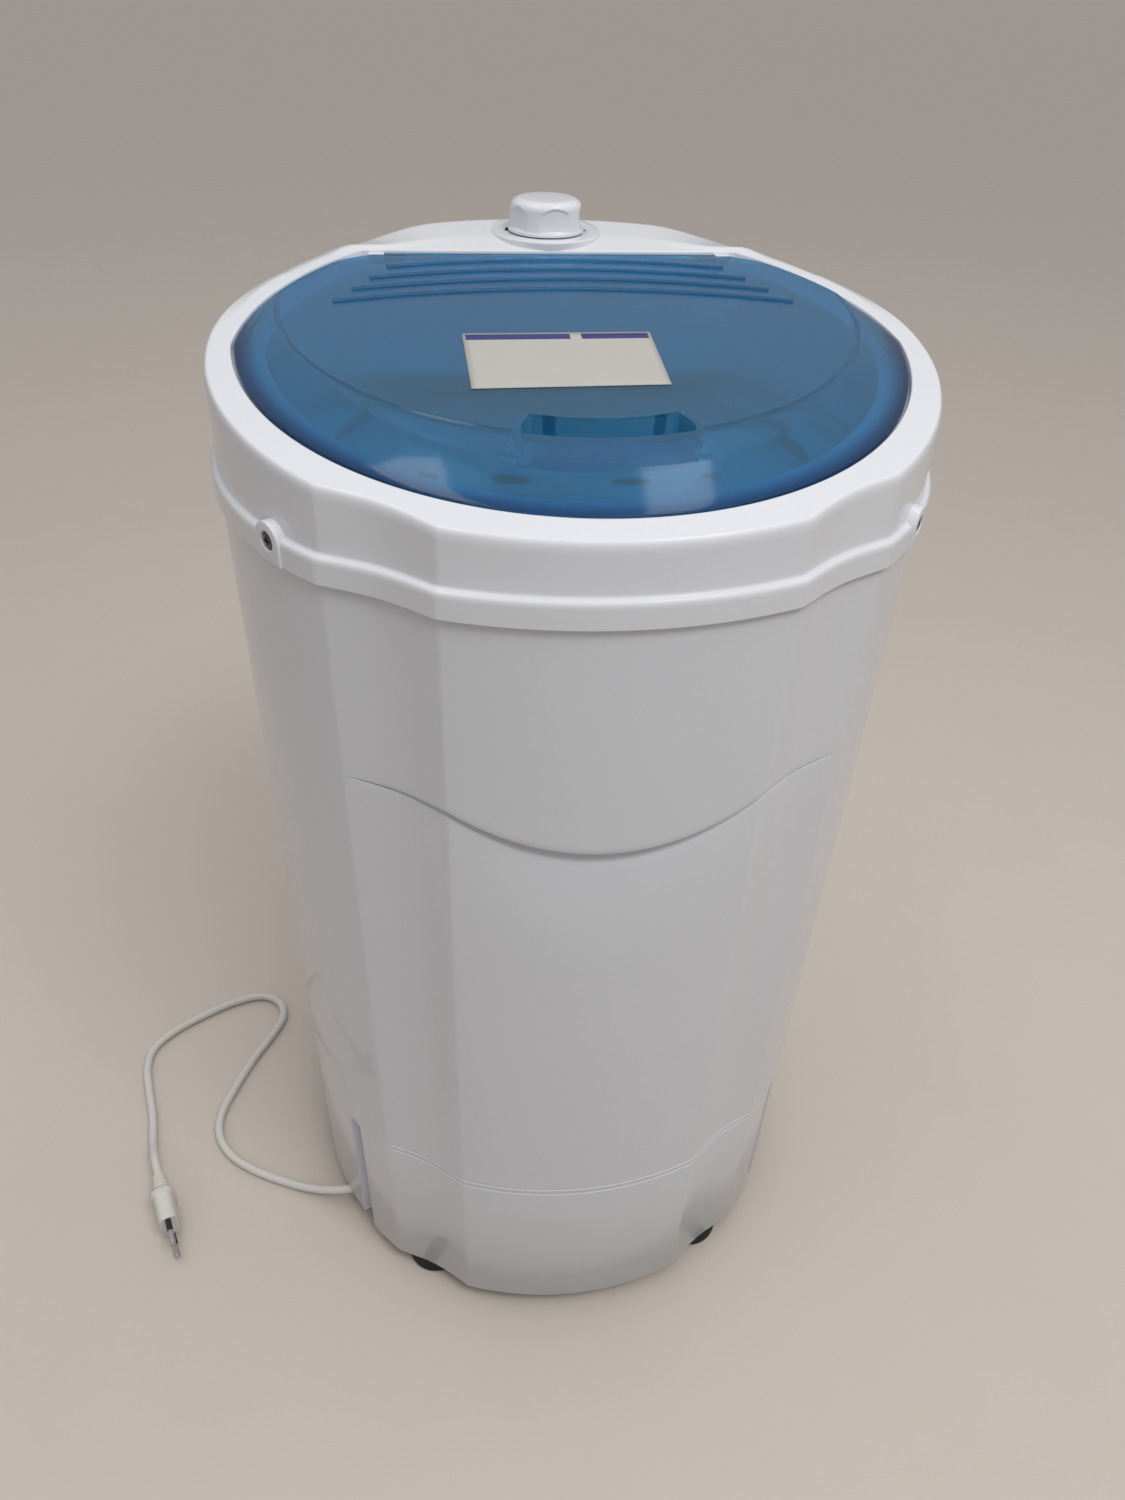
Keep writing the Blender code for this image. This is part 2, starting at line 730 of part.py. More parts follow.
def along_radius(shape, angle):
    """Lay an upright turned shape along a radius of the machine, at the height of the cover screws."""
    aim = Vector(at(angle, 1.0, 0.0)).to_track_quat("Z", "Y").to_matrix().to_4x4()
    shape.data.transform(Matrix.Translation((0, 0, screw_height())) @ aim)
    return shape


def head_bore(angle):
    """The stepped hole in the top cover for one screw's shank and head."""
    seat = screw_seat(angle)
    shank, head = SCREW_SHANK_RADIUS + GAP, SCREW_HEAD_RADIUS + GAP
    mouth = seat + SCREW_HEAD_HEIGHT + WALL
    profile = [
        (0.0, seat - SCREW_LENGTH),
        (shank, seat - SCREW_LENGTH),
        (shank, seat),
        (head, seat),
        (head, mouth),
        (0.0, mouth),
    ]
    return along_radius(turned("head_bore", profile, 12, None), angle)


def top_height(y):
    """Height of the sloping top over a place on the floor plan."""
    return LEDGE_HEIGHT + TOP_RISE + TOP_SLOPE * y


def circle_reach(angle, centre, radius):
    """Distance from the machine's axis to a circle on the sloping top, in one direction."""
    across, along = math.sin(angle), -math.cos(angle)
    squash = 1 / math.sqrt(1 + TOP_SLOPE**2)
    a = across**2 + (along / squash) ** 2
    b = -2 * along * centre / squash**2
    c = (centre / squash) ** 2 - radius**2
    return (-b + math.sqrt(b * b - 4 * a * c)) / (2 * a)


def d_outline(angle, radius, chord):
    """Distance from the axis to an opening where two equal circles overlap, cut straight at the rear."""
    reach = min(circle_reach(angle, centre, radius) for centre in (LID_CENTRE, LID_REAR_CENTRE))
    along = -math.cos(angle)
    if along > 0:
        reach = min(reach, chord / along)
    return reach


def corner_angle(radius, chord):
    """The angle from the front of the corner where the straight rear edge meets the arc."""
    squash = 1 / math.sqrt(1 + TOP_SLOPE**2)
    x = math.sqrt(radius**2 - ((chord - LID_REAR_CENTRE) / squash) ** 2)
    return math.pi / 2 + math.atan2(chord, x)


def deck_edge(angle):
    """Distance from the axis to the low wall in front of the raised rear deck."""
    along = -math.cos(angle)
    b = -2 * along * DECK_ARC_CENTRE
    c = DECK_ARC_CENTRE**2 - DECK_ARC_RADIUS**2
    return (-b + math.sqrt(b * b - 4 * c)) / 2


def recess_sizes():
    return LID_RADIUS + LID_GAP, HINGE_Y + HINGE_RADIUS + HINGE_SLACK


def throat_sizes():
    return LID_RADIUS - THROAT_INSET, HINGE_Y - THROAT_CHORD_INSET


def cover_column(angle):
    band = plan_radius(angle)
    tier = band - TIER_INSET
    recess = d_outline(angle, *recess_sizes())
    throat = d_outline(angle, *throat_sizes())
    at_chord = recess * -math.cos(angle) > recess_sizes()[1] - 1e-5
    seat_drop = 2 * HINGE_RADIUS + 3 * GAP if at_chord else LID_RIM + GAP
    lip = 0.0015
    fillet = min(TOP_FILLET, tier - recess - 3 * lip)
    flat_start = tier - fillet
    wall_foot = min(max(deck_edge(angle), recess + lip), flat_start - lip)
    fade = (abs(angle) - DECK_FADE_START) / DECK_FADE_SPAN
    raise_by = DECK_RAISE * min(1.0, max(0.0, fade))

    def sloped(radius, offset):
        return (radius, top_height(-radius * math.cos(angle)) + offset)

    def deck(radius, offset):
        return (radius, min(sloped(radius, raise_by)[1], DECK_LEVEL) + offset)

    points = [
        (band, LEDGE_HEIGHT - BAND_HEIGHT),
        (band, LEDGE_HEIGHT - 0.0015),
        (band - 0.0015, LEDGE_HEIGHT),
        (tier, LEDGE_HEIGHT + 0.0008),
    ]
    for turn in (0, 30, 60, 90):
        arc = math.radians(turn)
        back = fillet * (1 - math.cos(arc))
        down = fillet * (1 - math.sin(arc))
        points.append(deck(tier - back, -down))
    points += [
        deck(wall_foot + lip * 0.6, 0.0),
        sloped(wall_foot, 0.0),
        sloped(recess + lip * 0.5, 0.0),
        sloped(recess, -lip * 0.5),
        sloped(recess, -seat_drop),
        sloped(throat, -seat_drop),
        (throat, FLANGE_TOP + TUB_FLANGE + THROAT_DROP + GAP),
        (throat + WALL, FLANGE_TOP + TUB_FLANGE + THROAT_DROP + GAP),
        sloped(throat + WALL, -seat_drop - WALL),
        sloped(recess + WALL, -seat_drop - WALL),
        sloped(max(tier - WALL - fillet / 2, recess + WALL + GAP), -WALL - fillet / 2),
        sloped(tier - WALL, -WALL - fillet),
        (tier - WALL, SHOULDER),
        (band - BAND_WALL, SHOULDER),
        (band - BAND_WALL, LEDGE_HEIGHT - BAND_HEIGHT),
    ]
    return [at(angle, radius, height) for radius, height in points]


def hinge_height():
    return top_height(HINGE_Y) - HINGE_RADIUS


def hinge_ear(side):
    """A knuckle of the top cover beside the lid's barrel, joined to the deck behind it."""
    near = side * (HINGE_HALF_LENGTH + GAP)
    far = side * (HINGE_HALF_LENGTH + GAP + HINGE_EAR)
    back = HINGE_RADIUS + HINGE_SLACK + WALL
    outline = []
    for step in range(7):
        turn = math.pi / 2 + math.pi * step / 6
        outline.append((HINGE_RADIUS * math.cos(turn), HINGE_RADIUS * math.sin(turn)))
    outline += [(back, -HINGE_RADIUS), (back, HINGE_RADIUS - GAP)]
    loops = [[(x, HINGE_Y + y, hinge_height() + z - GAP) for y, z in outline] for x in (near, far)]
    return stacked("hinge_ear", loops, None)


def hinge_bore(side):
    start = (side * (HINGE_HALF_LENGTH - HINGE_PIN_LENGTH / 2 - 4 * GAP), HINGE_Y, hinge_height())
    end = (side * (HINGE_HALF_LENGTH + HINGE_EAR + WALL), HINGE_Y, hinge_height())
    return rod("hinge_bore", start, end, HINGE_PIN_RADIUS + GAP, 10, None)


def make_hinge_pins():
    for name, side in (("left", -1), ("right", 1)):
        start = (side * (HINGE_HALF_LENGTH - HINGE_PIN_LENGTH / 2), HINGE_Y, hinge_height())
        end = (side * (HINGE_HALF_LENGTH + HINGE_PIN_LENGTH / 2 - WALL), HINGE_Y, hinge_height())
        rod(f"hinge_pin_{name}", start, end, HINGE_PIN_RADIUS, 10, "steel")


def switch_place():
    """The lid switch stands under the lid's rim on the right, clear of the throat's wall."""
    turn = math.radians(23)
    reach = lid_edge(turn) - LID_RIM
    return (reach * math.cos(turn), LID_CENTRE + reach * math.sin(turn))


def boss(angle, root, face, radius, lowest):
    """The round pad that a cover screw sits in, or its part over a given height."""
    outline = [(across, max(screw_height() + rise, lowest)) for across, rise in circle(radius, 12)]
    loops = []
    for reach in (root, face):
        x, y, _ = at(angle, reach, 0.0)
        loops.append(
            [(x + across * math.cos(angle), y + across * math.sin(angle), height) for across, height in outline]
        )
    return stacked("boss", loops, None)


def make_top_cover():
    half = outline_angles()
    half += [corner_angle(*recess_sizes()), corner_angle(*throat_sizes())]
    half += [corner_angle(*recess_sizes()) + 0.02]
    cover = lofted_ring("top_cover", [cover_column(angle) for angle in both_sides(half)], "white")
    pads, added = [], [hinge_ear(-1), hinge_ear(1)]
    cuts = [hinge_bore(-1), hinge_bore(1)]
    for angle in screw_angles().values():
        face = plan_radius(angle) + BOSS_PROUD
        in_band = plan_radius(angle) - BAND_WALL / 2
        pads.append(boss(angle, in_band, face, BOSS_RADIUS, 0.0))
        in_tier = plan_radius(angle) - TIER_INSET - WALL / 2
        added.append(boss(angle, in_tier, in_band + 2 * GAP, BOSS_RADIUS - GAP, SHOULDER + WALL))
        cuts.append(head_bore(angle))
    moat = 0.001
    sink = circle(COLLAR_RADIUS + moat, 28, (0.0, KNOB_Y))
    collar = circle(COLLAR_RADIUS, 28, (0.0, KNOB_Y))
    shape_with(cover, "DIFFERENCE", [prism("sink", sink, COLLAR_TOP - moat, COLLAR_TOP + 0.03, None)])
    added.append(prism("collar", collar, COLLAR_TOP - COLLAR_DEPTH, COLLAR_TOP, None))
    shape_with(cover, "UNION", pads)
    shape_with(cover, "UNION", added)
    shaft_hole = circle(TIMER_SHAFT_RADIUS + 2 * GAP, 12, (0.0, KNOB_Y))
    cuts.append(prism("shaft_hole", shaft_hole, COLLAR_TOP - 2 * COLLAR_DEPTH, COLLAR_TOP + WALL, None))
    x, y = switch_place()
    plunger_hole = circle(PLUNGER_RADIUS + GAP, 12, (x, y))
    cuts.append(prism("plunger_hole", plunger_hole, top_height(y) - 5 * WALL, top_height(y), None))
    second = joined("top_cover_holes", cuts)
    modifier = cover.modifiers.new("Holes", "BOOLEAN")
    modifier.operation = "DIFFERENCE"
    modifier.solver = "EXACT"
    modifier.object = second


def make_lid_switch():
    x, y = switch_place()
    slope_drop = SWITCH_RADIUS * TOP_SLOPE
    top = top_height(y) - LID_RIM - GAP - WALL - GAP - slope_drop
    bore = PLUNGER_RADIUS + GAP
    profile = [
        (bore, top),
        (bore, top - PLUNGER_LENGTH),
        (0.0, top - PLUNGER_LENGTH),
        (0.0, top - SWITCH_HEIGHT),
        (SWITCH_RADIUS, top - SWITCH_HEIGHT),
        (SWITCH_RADIUS, top),
    ]
    turned("lid_switch", profile, 16, "black_plastic", (x, y))
    head = top_height(y) - LID_RIM - GAP - PLUNGER_RADIUS * TOP_SLOPE
    start = (x, y, head - PLUNGER_LENGTH)
    rod("lid_switch_plunger", start, (x, y, head), PLUNGER_RADIUS, 12, "white")


def lid_rise(y):
    """Height of the lid's flat top over the sloping top of the body."""
    front = LID_CENTRE + LID_CREASE_SHIFT - LID_CREASE_RADIUS
    share = (CHORD_Y - y) / (CHORD_Y - front)
    return LID_REAR_RISE + (LID_FRONT_RISE - LID_REAR_RISE) * min(1.0, max(0.0, share))


def reach_to(turn, shift, radius):
    """Distance from the lid's centre to a circle shifted to the rear, in one direction."""
    along = shift * math.sin(turn)
    return along + math.sqrt(radius**2 - shift**2 + along**2)


def lid_edge(turn):
    """Distance from the lid's centre to its rim, in one direction on the sloping top."""
    squash = 1 / math.sqrt(1 + TOP_SLOPE**2)
    edge = min(LID_RADIUS, reach_to(turn, (LID_REAR_CENTRE - LID_CENTRE) / squash, LID_RADIUS))
    rear = (CHORD_Y - LID_CENTRE) / squash
    if math.sin(turn) > 0:
        trimmed = rear + CORNER_SLOPE * (LID_RADIUS - CORNER_TRIM)
        edge = min(edge, rear / math.sin(turn), trimmed / (math.sin(turn) + CORNER_SLOPE * abs(math.cos(turn))))
    return edge


def lid_column(turn):
    """Points from the top centre over the rim to the underside, in one direction from the lid's centre."""
    squash = 1 / math.sqrt(1 + TOP_SLOPE**2)
    edge = lid_edge(turn)
    crease = min(reach_to(turn, LID_CREASE_SHIFT, LID_CREASE_RADIUS), edge - 0.007)
    brow = min(max(crease + 0.001, reach_to(turn, LID_BROW_SHIFT, LID_BROW_RADIUS)), edge - 0.005)

    def spot(reach):
        return (reach * math.cos(turn), LID_CENTRE + squash * reach * math.sin(turn))

    def over(reach, rise):
        x, y = spot(reach)
        return (x, y, top_height(y) + rise)

    flat = lid_rise(spot(crease)[1])
    shoulder = flat - LID_BROW_SLOPE * (brow - crease)
    run = edge - brow
    half = crease / 2
    half_rise = lid_rise(spot(half)[1])
    return [
        over(half, half_rise),
        over(crease, flat),
        over(brow, shoulder),
        over(brow + 0.55 * run, 0.70 * shoulder),
        over(brow + 0.86 * run, 0.28 * shoulder),
        over(edge, -0.0006),
        over(edge, -LID_RIM),
        over(brow + 0.80 * run, -LID_RIM),
        over(brow + 0.52 * run, min(0.70 * shoulder - LID_THICKNESS, 0)),
        over(brow, shoulder - LID_THICKNESS),
        over(crease, flat - LID_THICKNESS),
        over(half, half_rise - LID_THICKNESS),
    ]


def make_lid():
    corner = math.atan2(CHORD_Y - LID_CENTRE, math.sqrt(LID_RADIUS**2 - (CHORD_Y - LID_REAR_CENTRE) ** 2))
    turns = spread(corner, math.pi - corner, 6) + spread(math.pi - corner, math.tau + corner, 26)
    columns = [lid_column(turn) for turn in turns]
    bm = bmesh.new()
    rows = [[bm.verts.new(point) for point in column] for column in columns]
    centre_top = bm.verts.new((0, LID_CENTRE, top_height(LID_CENTRE) + lid_rise(LID_CENTRE)))
    under = top_height(LID_CENTRE) + lid_rise(LID_CENTRE) - LID_THICKNESS
    centre_under = bm.verts.new((0, LID_CENTRE, under))
    for one, two in zip(rows, rows[1:] + rows[:1]):
        for i in range(len(one) - 1):
            bm.faces.new((one[i], one[i + 1], two[i + 1], two[i]))
        bm.faces.new((one[0], two[0], centre_top))
        bm.faces.new((one[-1], two[-1], centre_under))
    lid = place_mesh("lid", bm, "blue")
    shape_with(lid, "UNION", [lid_barrel(), grip_block(GRIP_WIDTH / 2 + LID_THICKNESS, LID_THICKNESS)])
    ribs = joined("lid_ribs", [lid_rib(i) for i in range(RIB_COUNT)])
    modifier = lid.modifiers.new("Ribs", "BOOLEAN")
    modifier.operation = "UNION"
    modifier.solver = "EXACT"
    modifier.object = ribs
    shape_with(lid, "DIFFERENCE", [ear_notch(-1), ear_notch(1), grip_block(GRIP_WIDTH / 2, 0.0)])
    bores = joined("lid_bores", [hinge_bore(-1), hinge_bore(1)])
    modifier = lid.modifiers.new("Bores", "BOOLEAN")
    modifier.operation = "DIFFERENCE"
    modifier.solver = "EXACT"
    modifier.object = bores
    return lid


def lid_barrel():
    start = (-HINGE_HALF_LENGTH, HINGE_Y, hinge_height())
    end = (HINGE_HALF_LENGTH, HINGE_Y, hinge_height())
    return rod("barrel", start, end, HINGE_RADIUS, 16, None)


def ear_notch(side):
    ends = sorted(side * reach for reach in (HINGE_HALF_LENGTH, HINGE_HALF_LENGTH + HINGE_EAR + 3 * GAP))
    front = HINGE_Y - HINGE_RADIUS - 3 * GAP
    low, high = hinge_height() - 0.01, hinge_height() + 0.01
    return box("ear_notch", (ends[0], front, low), (ends[1], HINGE_Y + 0.01, high), None)


def grip_block(half_width, shell):
    """The finger pocket in the front of the lid, or the shell round it."""
    front = GRIP_FRONT - shell
    back = GRIP_FRONT + GRIP_LENGTH + shell
    floor = top_height(front) + lid_rise(front) - GRIP_DEPTH - shell
    level = top_height(GRIP_FRONT) + (lid_rise(GRIP_FRONT) - LID_THICKNESS / 2 if shell else 0.03)
    taper = GRIP_TAPER
    low = [(-half_width + taper, front + taper), (half_width - taper, front + taper)]
    low += [(half_width - taper, back - taper), (-half_width + taper, back - taper)]
    high = [(-half_width, front), (half_width, front), (half_width, back), (-half_width, back)]
    lift = TOP_SLOPE - (LID_FRONT_RISE - LID_REAR_RISE) / (2 * LID_RADIUS)
    loops = [
        [(x, y, floor + lift * (y - front)) for x, y in low],
        [(x, y, level + lift * (y - front)) for x, y in high],
    ]
    return stacked("grip", loops, None)


def lid_rib(index):
    """One of the raised bars across the rear of the lid, bowed to the rear."""
    half = RIB_HALF_LENGTH + RIB_GROWTH * index
    middle = CHORD_Y - RIB_FIRST - RIB_PITCH * index
    loops = []
    stations = 4
    for i in range(stations + 1):
        x = half * (2 * i / stations - 1)
        y = middle - RIB_BOW * (x / half) ** 2
        surface = top_height(y) + lid_rise(y)
        low, high = surface - LID_THICKNESS / 2, surface + RIB_HEIGHT
        loops.append(
            [
                (x, y - RIB_WIDTH / 2, low),
                (x, y + RIB_WIDTH / 2, low),
                (x, y + RIB_WIDTH / 4, high),
                (x, y - RIB_WIDTH / 4, high),
            ]
        )
    return stacked("rib", loops, None)


def make_timer():
    under = COLLAR_TOP - COLLAR_DEPTH - GAP
    bore = TIMER_SHAFT_RADIUS + GAP
    shaft_foot = under - TIMER_SHAFT_GRIP
    body = [
        (bore, under),
        (bore, shaft_foot - GAP),
        (0.0, shaft_foot - GAP),
        (0.0, under - TIMER_HEIGHT),
        (TIMER_RADIUS, under - TIMER_HEIGHT),
        (TIMER_RADIUS, under - 0.002),
        (TIMER_RADIUS - 0.002, under),
    ]
    turned("timer_body", body, 18, "grey_plastic", (0.0, KNOB_Y))
    knob_foot = COLLAR_TOP + KNOB_LIFT
    grip_top = knob_foot + TIMER_SHAFT_GRIP
    rod("timer_shaft", (0, KNOB_Y, shaft_foot), (0, KNOB_Y, grip_top), TIMER_SHAFT_RADIUS, 12, "steel")
    make_knob(knob_foot, grip_top + GAP)


def make_knob(foot, bore_top):
    sides = 4 * KNOB_LOBES
    bore = TIMER_SHAFT_RADIUS + GAP

    def ring(scale, height, fluted):
        points = []
        for i in range(sides):
            turn = math.tau * i / sides
            flute = KNOB_FLUTE * max(0.0, math.cos(KNOB_LOBES * turn)) if fluted else 0.0
            radius = scale - flute
            points.append((radius * math.cos(turn), KNOB_Y + radius * math.sin(turn), height))
        return points

    top = foot + KNOB_HEIGHT
    loops = [
        ring(bore, bore_top, False),
        ring(bore, foot, False),
        ring(KNOB_RADIUS + 0.0004, foot, False),
        ring(KNOB_RADIUS + 0.0004, foot + 0.0015, False),
        ring(KNOB_RADIUS, foot + 0.002, True),
        ring(KNOB_RADIUS - 0.0006, top - 0.0035, True),
        ring(KNOB_RADIUS - 0.0022, top - 0.001, True),
        ring(KNOB_RADIUS - 0.005, top, False),
    ]
    stacked("timer_knob", loops, "white")


def foot_places():
    places = {}
    for end, angle in (("front", FOOT_ANGLE), ("rear", math.pi - FOOT_ANGLE)):
        for side, sign in (("left", -1), ("right", 1)):
            x, y, _ = at(sign * angle, FOOT_DISTANCE, 0.0)
            places[f"{end}_{side}"] = (x, y)
    return places


def make_feet():
    for name, centre in foot_places().items():
        top = BASE_HEIGHT - GAP
        skirt = CASING_CLEARANCE - 2 * GAP
        neck = FOOT_STEM_RADIUS + FOOT_NECK
        profile = [
            (0.0, 0.0),
            (0.9 * FOOT_RADIUS, 0.0),
            (FOOT_RADIUS, 0.2 * skirt),
            (0.95 * FOOT_RADIUS, skirt),
            (neck, skirt),
            (neck, top),
            (FOOT_STEM_RADIUS, top),
            (FOOT_STEM_RADIUS, BASE_TOP),
            (0.0, BASE_TOP),
        ]
        turned(f"foot_{name}", profile, 16, "rubber", centre)


def spring_places():
    return [
        (SPRING_CIRCLE * math.cos(turn), SPRING_CIRCLE * math.sin(turn))
        for turn in (math.radians(30), math.radians(150), math.radians(270))
    ]


def make_base_plate():
    loops = []
    for angle in both_sides(outline_angles()):
        step = smile_depth(angle)
        cut = SLOT_DEPTH
        rim = casing_outer(angle, BASE_HEIGHT) - WALL - step - cut - GAP
        section = [
            (BASE_HOLE_RADIUS, BASE_HEIGHT),
            (rim, BASE_HEIGHT),
            (rim, BASE_TOP + BASE_RIM),
            (rim - WALL, BASE_TOP + BASE_RIM),
            (rim - WALL, BASE_TOP),
            (BASE_HOLE_RADIUS, BASE_TOP),
        ]
        loops.append([at(angle, radius, height) for radius, height in section])
    base = lofted_ring("base_plate", loops, "grey_plastic")
    added = []
    for centre in spring_places():
        post = circle(SPRING_RADIUS - SPRING_WIRE - 4 * GAP, 12, centre)
        added.append(prism("post", post, BASE_TOP - WALL / 2, BASE_TOP + POST_HEIGHT, None))
    x, y = GLAND_ROOT
    low = CORD_HEIGHT - GLAND_RADIUS - GAP
    corner = (x, y - ANCHOR_HALF_WIDTH, low)
    opposite = (x + ANCHOR_DEPTH, y + ANCHOR_HALF_WIDTH, BASE_HEIGHT + WALL / 2)
    added.append(box("anchor", corner, opposite, None))
    shape_with(base, "UNION", added)
    holes = []
    for centre in foot_places().values():
        hole = circle(FOOT_STEM_RADIUS + GAP, 16, centre)
        holes.append(prism("hole", hole, BASE_HEIGHT - WALL, BASE_TOP + WALL, None))
    shape_with(base, "DIFFERENCE", holes)


def make_motor():
    inner = MOTOR_RADIUS - MOTOR_WALL
    pocket = BEARING_RADIUS + GAP
    floor = MOTOR_END
    eye = SHAFT_RADIUS + MOTOR_EYE

    def shell(name, end, towards):
        """One half of the motor's can, from its closed end towards the split."""
        edge = MOTOR_SPLIT - towards * GAP / 2

        def up(distance):
            return end + towards * distance

        profile = [
            (eye, end),
            (MOTOR_RADIUS, end),
            (MOTOR_RADIUS, MOTOR_SPLIT - towards * FLANGE_THICKNESS),
            (FLANGE_RADIUS, MOTOR_SPLIT - towards * FLANGE_THICKNESS),
            (FLANGE_RADIUS, edge),
            (inner, edge),
            (inner, up(MOTOR_WALL)),
            (pocket + MOTOR_WALL, up(MOTOR_WALL)),
            (pocket + MOTOR_WALL, up(floor + BEARING_HEIGHT)),
            (pocket, up(floor + BEARING_HEIGHT)),
            (pocket, up(floor - GAP)),
            (eye, up(floor - GAP)),
        ]
        turned(name, profile, 22, "dark_steel")
        low, high = sorted((up(floor), up(floor + BEARING_HEIGHT)))
        ring = [(SHAFT_RADIUS + GAP, low), (BEARING_RADIUS, low)]
        ring += [(BEARING_RADIUS, high), (SHAFT_RADIUS + GAP, high)]
        place = "lower" if towards > 0 else "upper"
        turned(f"motor_bearing_{place}", ring, 20, "steel")

    shell("motor_lower_shell", MOTOR_BOTTOM, 1)
    shell("motor_upper_shell", MOTOR_TOP, -1)
    bore = ROTOR_RADIUS + AIR_GAP
    outside = inner - GAP
    half = CORE_HEIGHT / 2
    coil_end = half + WINDING_OVERHANG
    slot = outside - bore
    section = [
        (bore, -half),
        (bore + 0.1 * slot, -half),
        (bore + 0.2 * slot, -coil_end),
        (bore + 0.65 * slot, -coil_end),
        (bore + 0.75 * slot, -half),
        (outside, -half),
    ]
    section += [(radius, -height) for radius, height in reversed(section)]
    turned("motor_stator", [(radius, MOTOR_SPLIT + height) for radius, height in section], 22, "copper")
    rotor = [(SHAFT_RADIUS + GAP, -half), (ROTOR_RADIUS, -half), (ROTOR_RADIUS, half), (SHAFT_RADIUS + GAP, half)]
    turned("motor_rotor", [(radius, MOTOR_SPLIT + height) for radius, height in rotor], 22, "steel")
    shaft_foot = MOTOR_BOTTOM + floor + GAP
    shaft_top = DRUM_BOTTOM + DRUM_HEIGHT / 2 - GAP
    rod("motor_shaft", (0, 0, shaft_foot), (0, 0, shaft_top), SHAFT_RADIUS, 20, "steel")


def make_motor_mount():
    loops = []
    hole = MOTOR_RADIUS + GAP
    for i in range(36):
        turn = math.tau * i / 36
        reach = MOUNT_RADIUS + MOUNT_LOBE * math.cos(3 * (turn - math.radians(30)))
        section = [(hole, MOUNT_UNDER), (reach, MOUNT_UNDER), (reach, MOUNT_TOP), (hole, MOUNT_TOP)]
        loops.append([(r * math.cos(turn), r * math.sin(turn), z) for r, z in section])
    lofted_ring("motor_mount", loops, "dark_steel")
    for number, centre in enumerate(spring_places(), 1):
        name = f"suspension_spring_{number}"
        coil(name, centre, BASE_TOP + GAP, MOUNT_UNDER - GAP, SPRING_RADIUS, SPRING_WIRE, SPRING_TURNS, "steel")


def make_capacitor():
    foot = BASE_TOP + GAP
    x, y, _ = at(CAPACITOR_ANGLE, BODY_RADIUS - CAPACITOR_SETBACK, 0.0)
    shoulder = 0.003
    can = [
        (0.0, foot),
        (CAPACITOR_RADIUS, foot),
        (CAPACITOR_RADIUS, foot + CAPACITOR_HEIGHT - shoulder),
        (CAPACITOR_RADIUS - shoulder, foot + CAPACITOR_HEIGHT),
        (0.0, foot + CAPACITOR_HEIGHT),
    ]
    turned("capacitor", can, 18, "white", (x, y))
    hoop = CAPACITOR_RADIUS + GAP
    clamp = [(hoop, foot), (hoop + CLAMP_FLANGE, foot), (hoop + CLAMP_FLANGE, foot + SHEET)]
    clamp += [(hoop + SHEET, foot + SHEET), (hoop + SHEET, foot + CLAMP_HEIGHT), (hoop, foot + CLAMP_HEIGHT)]
    turned("capacitor_clamp", clamp, 18, "steel", (x, y))


def cable_place():
    """Where the brake cable climbs beside the tub."""
    x, y, _ = at(CABLE_ANGLE, TUB_RADIUS + CABLE_CLEARANCE, 0.0)
    return (x, y)


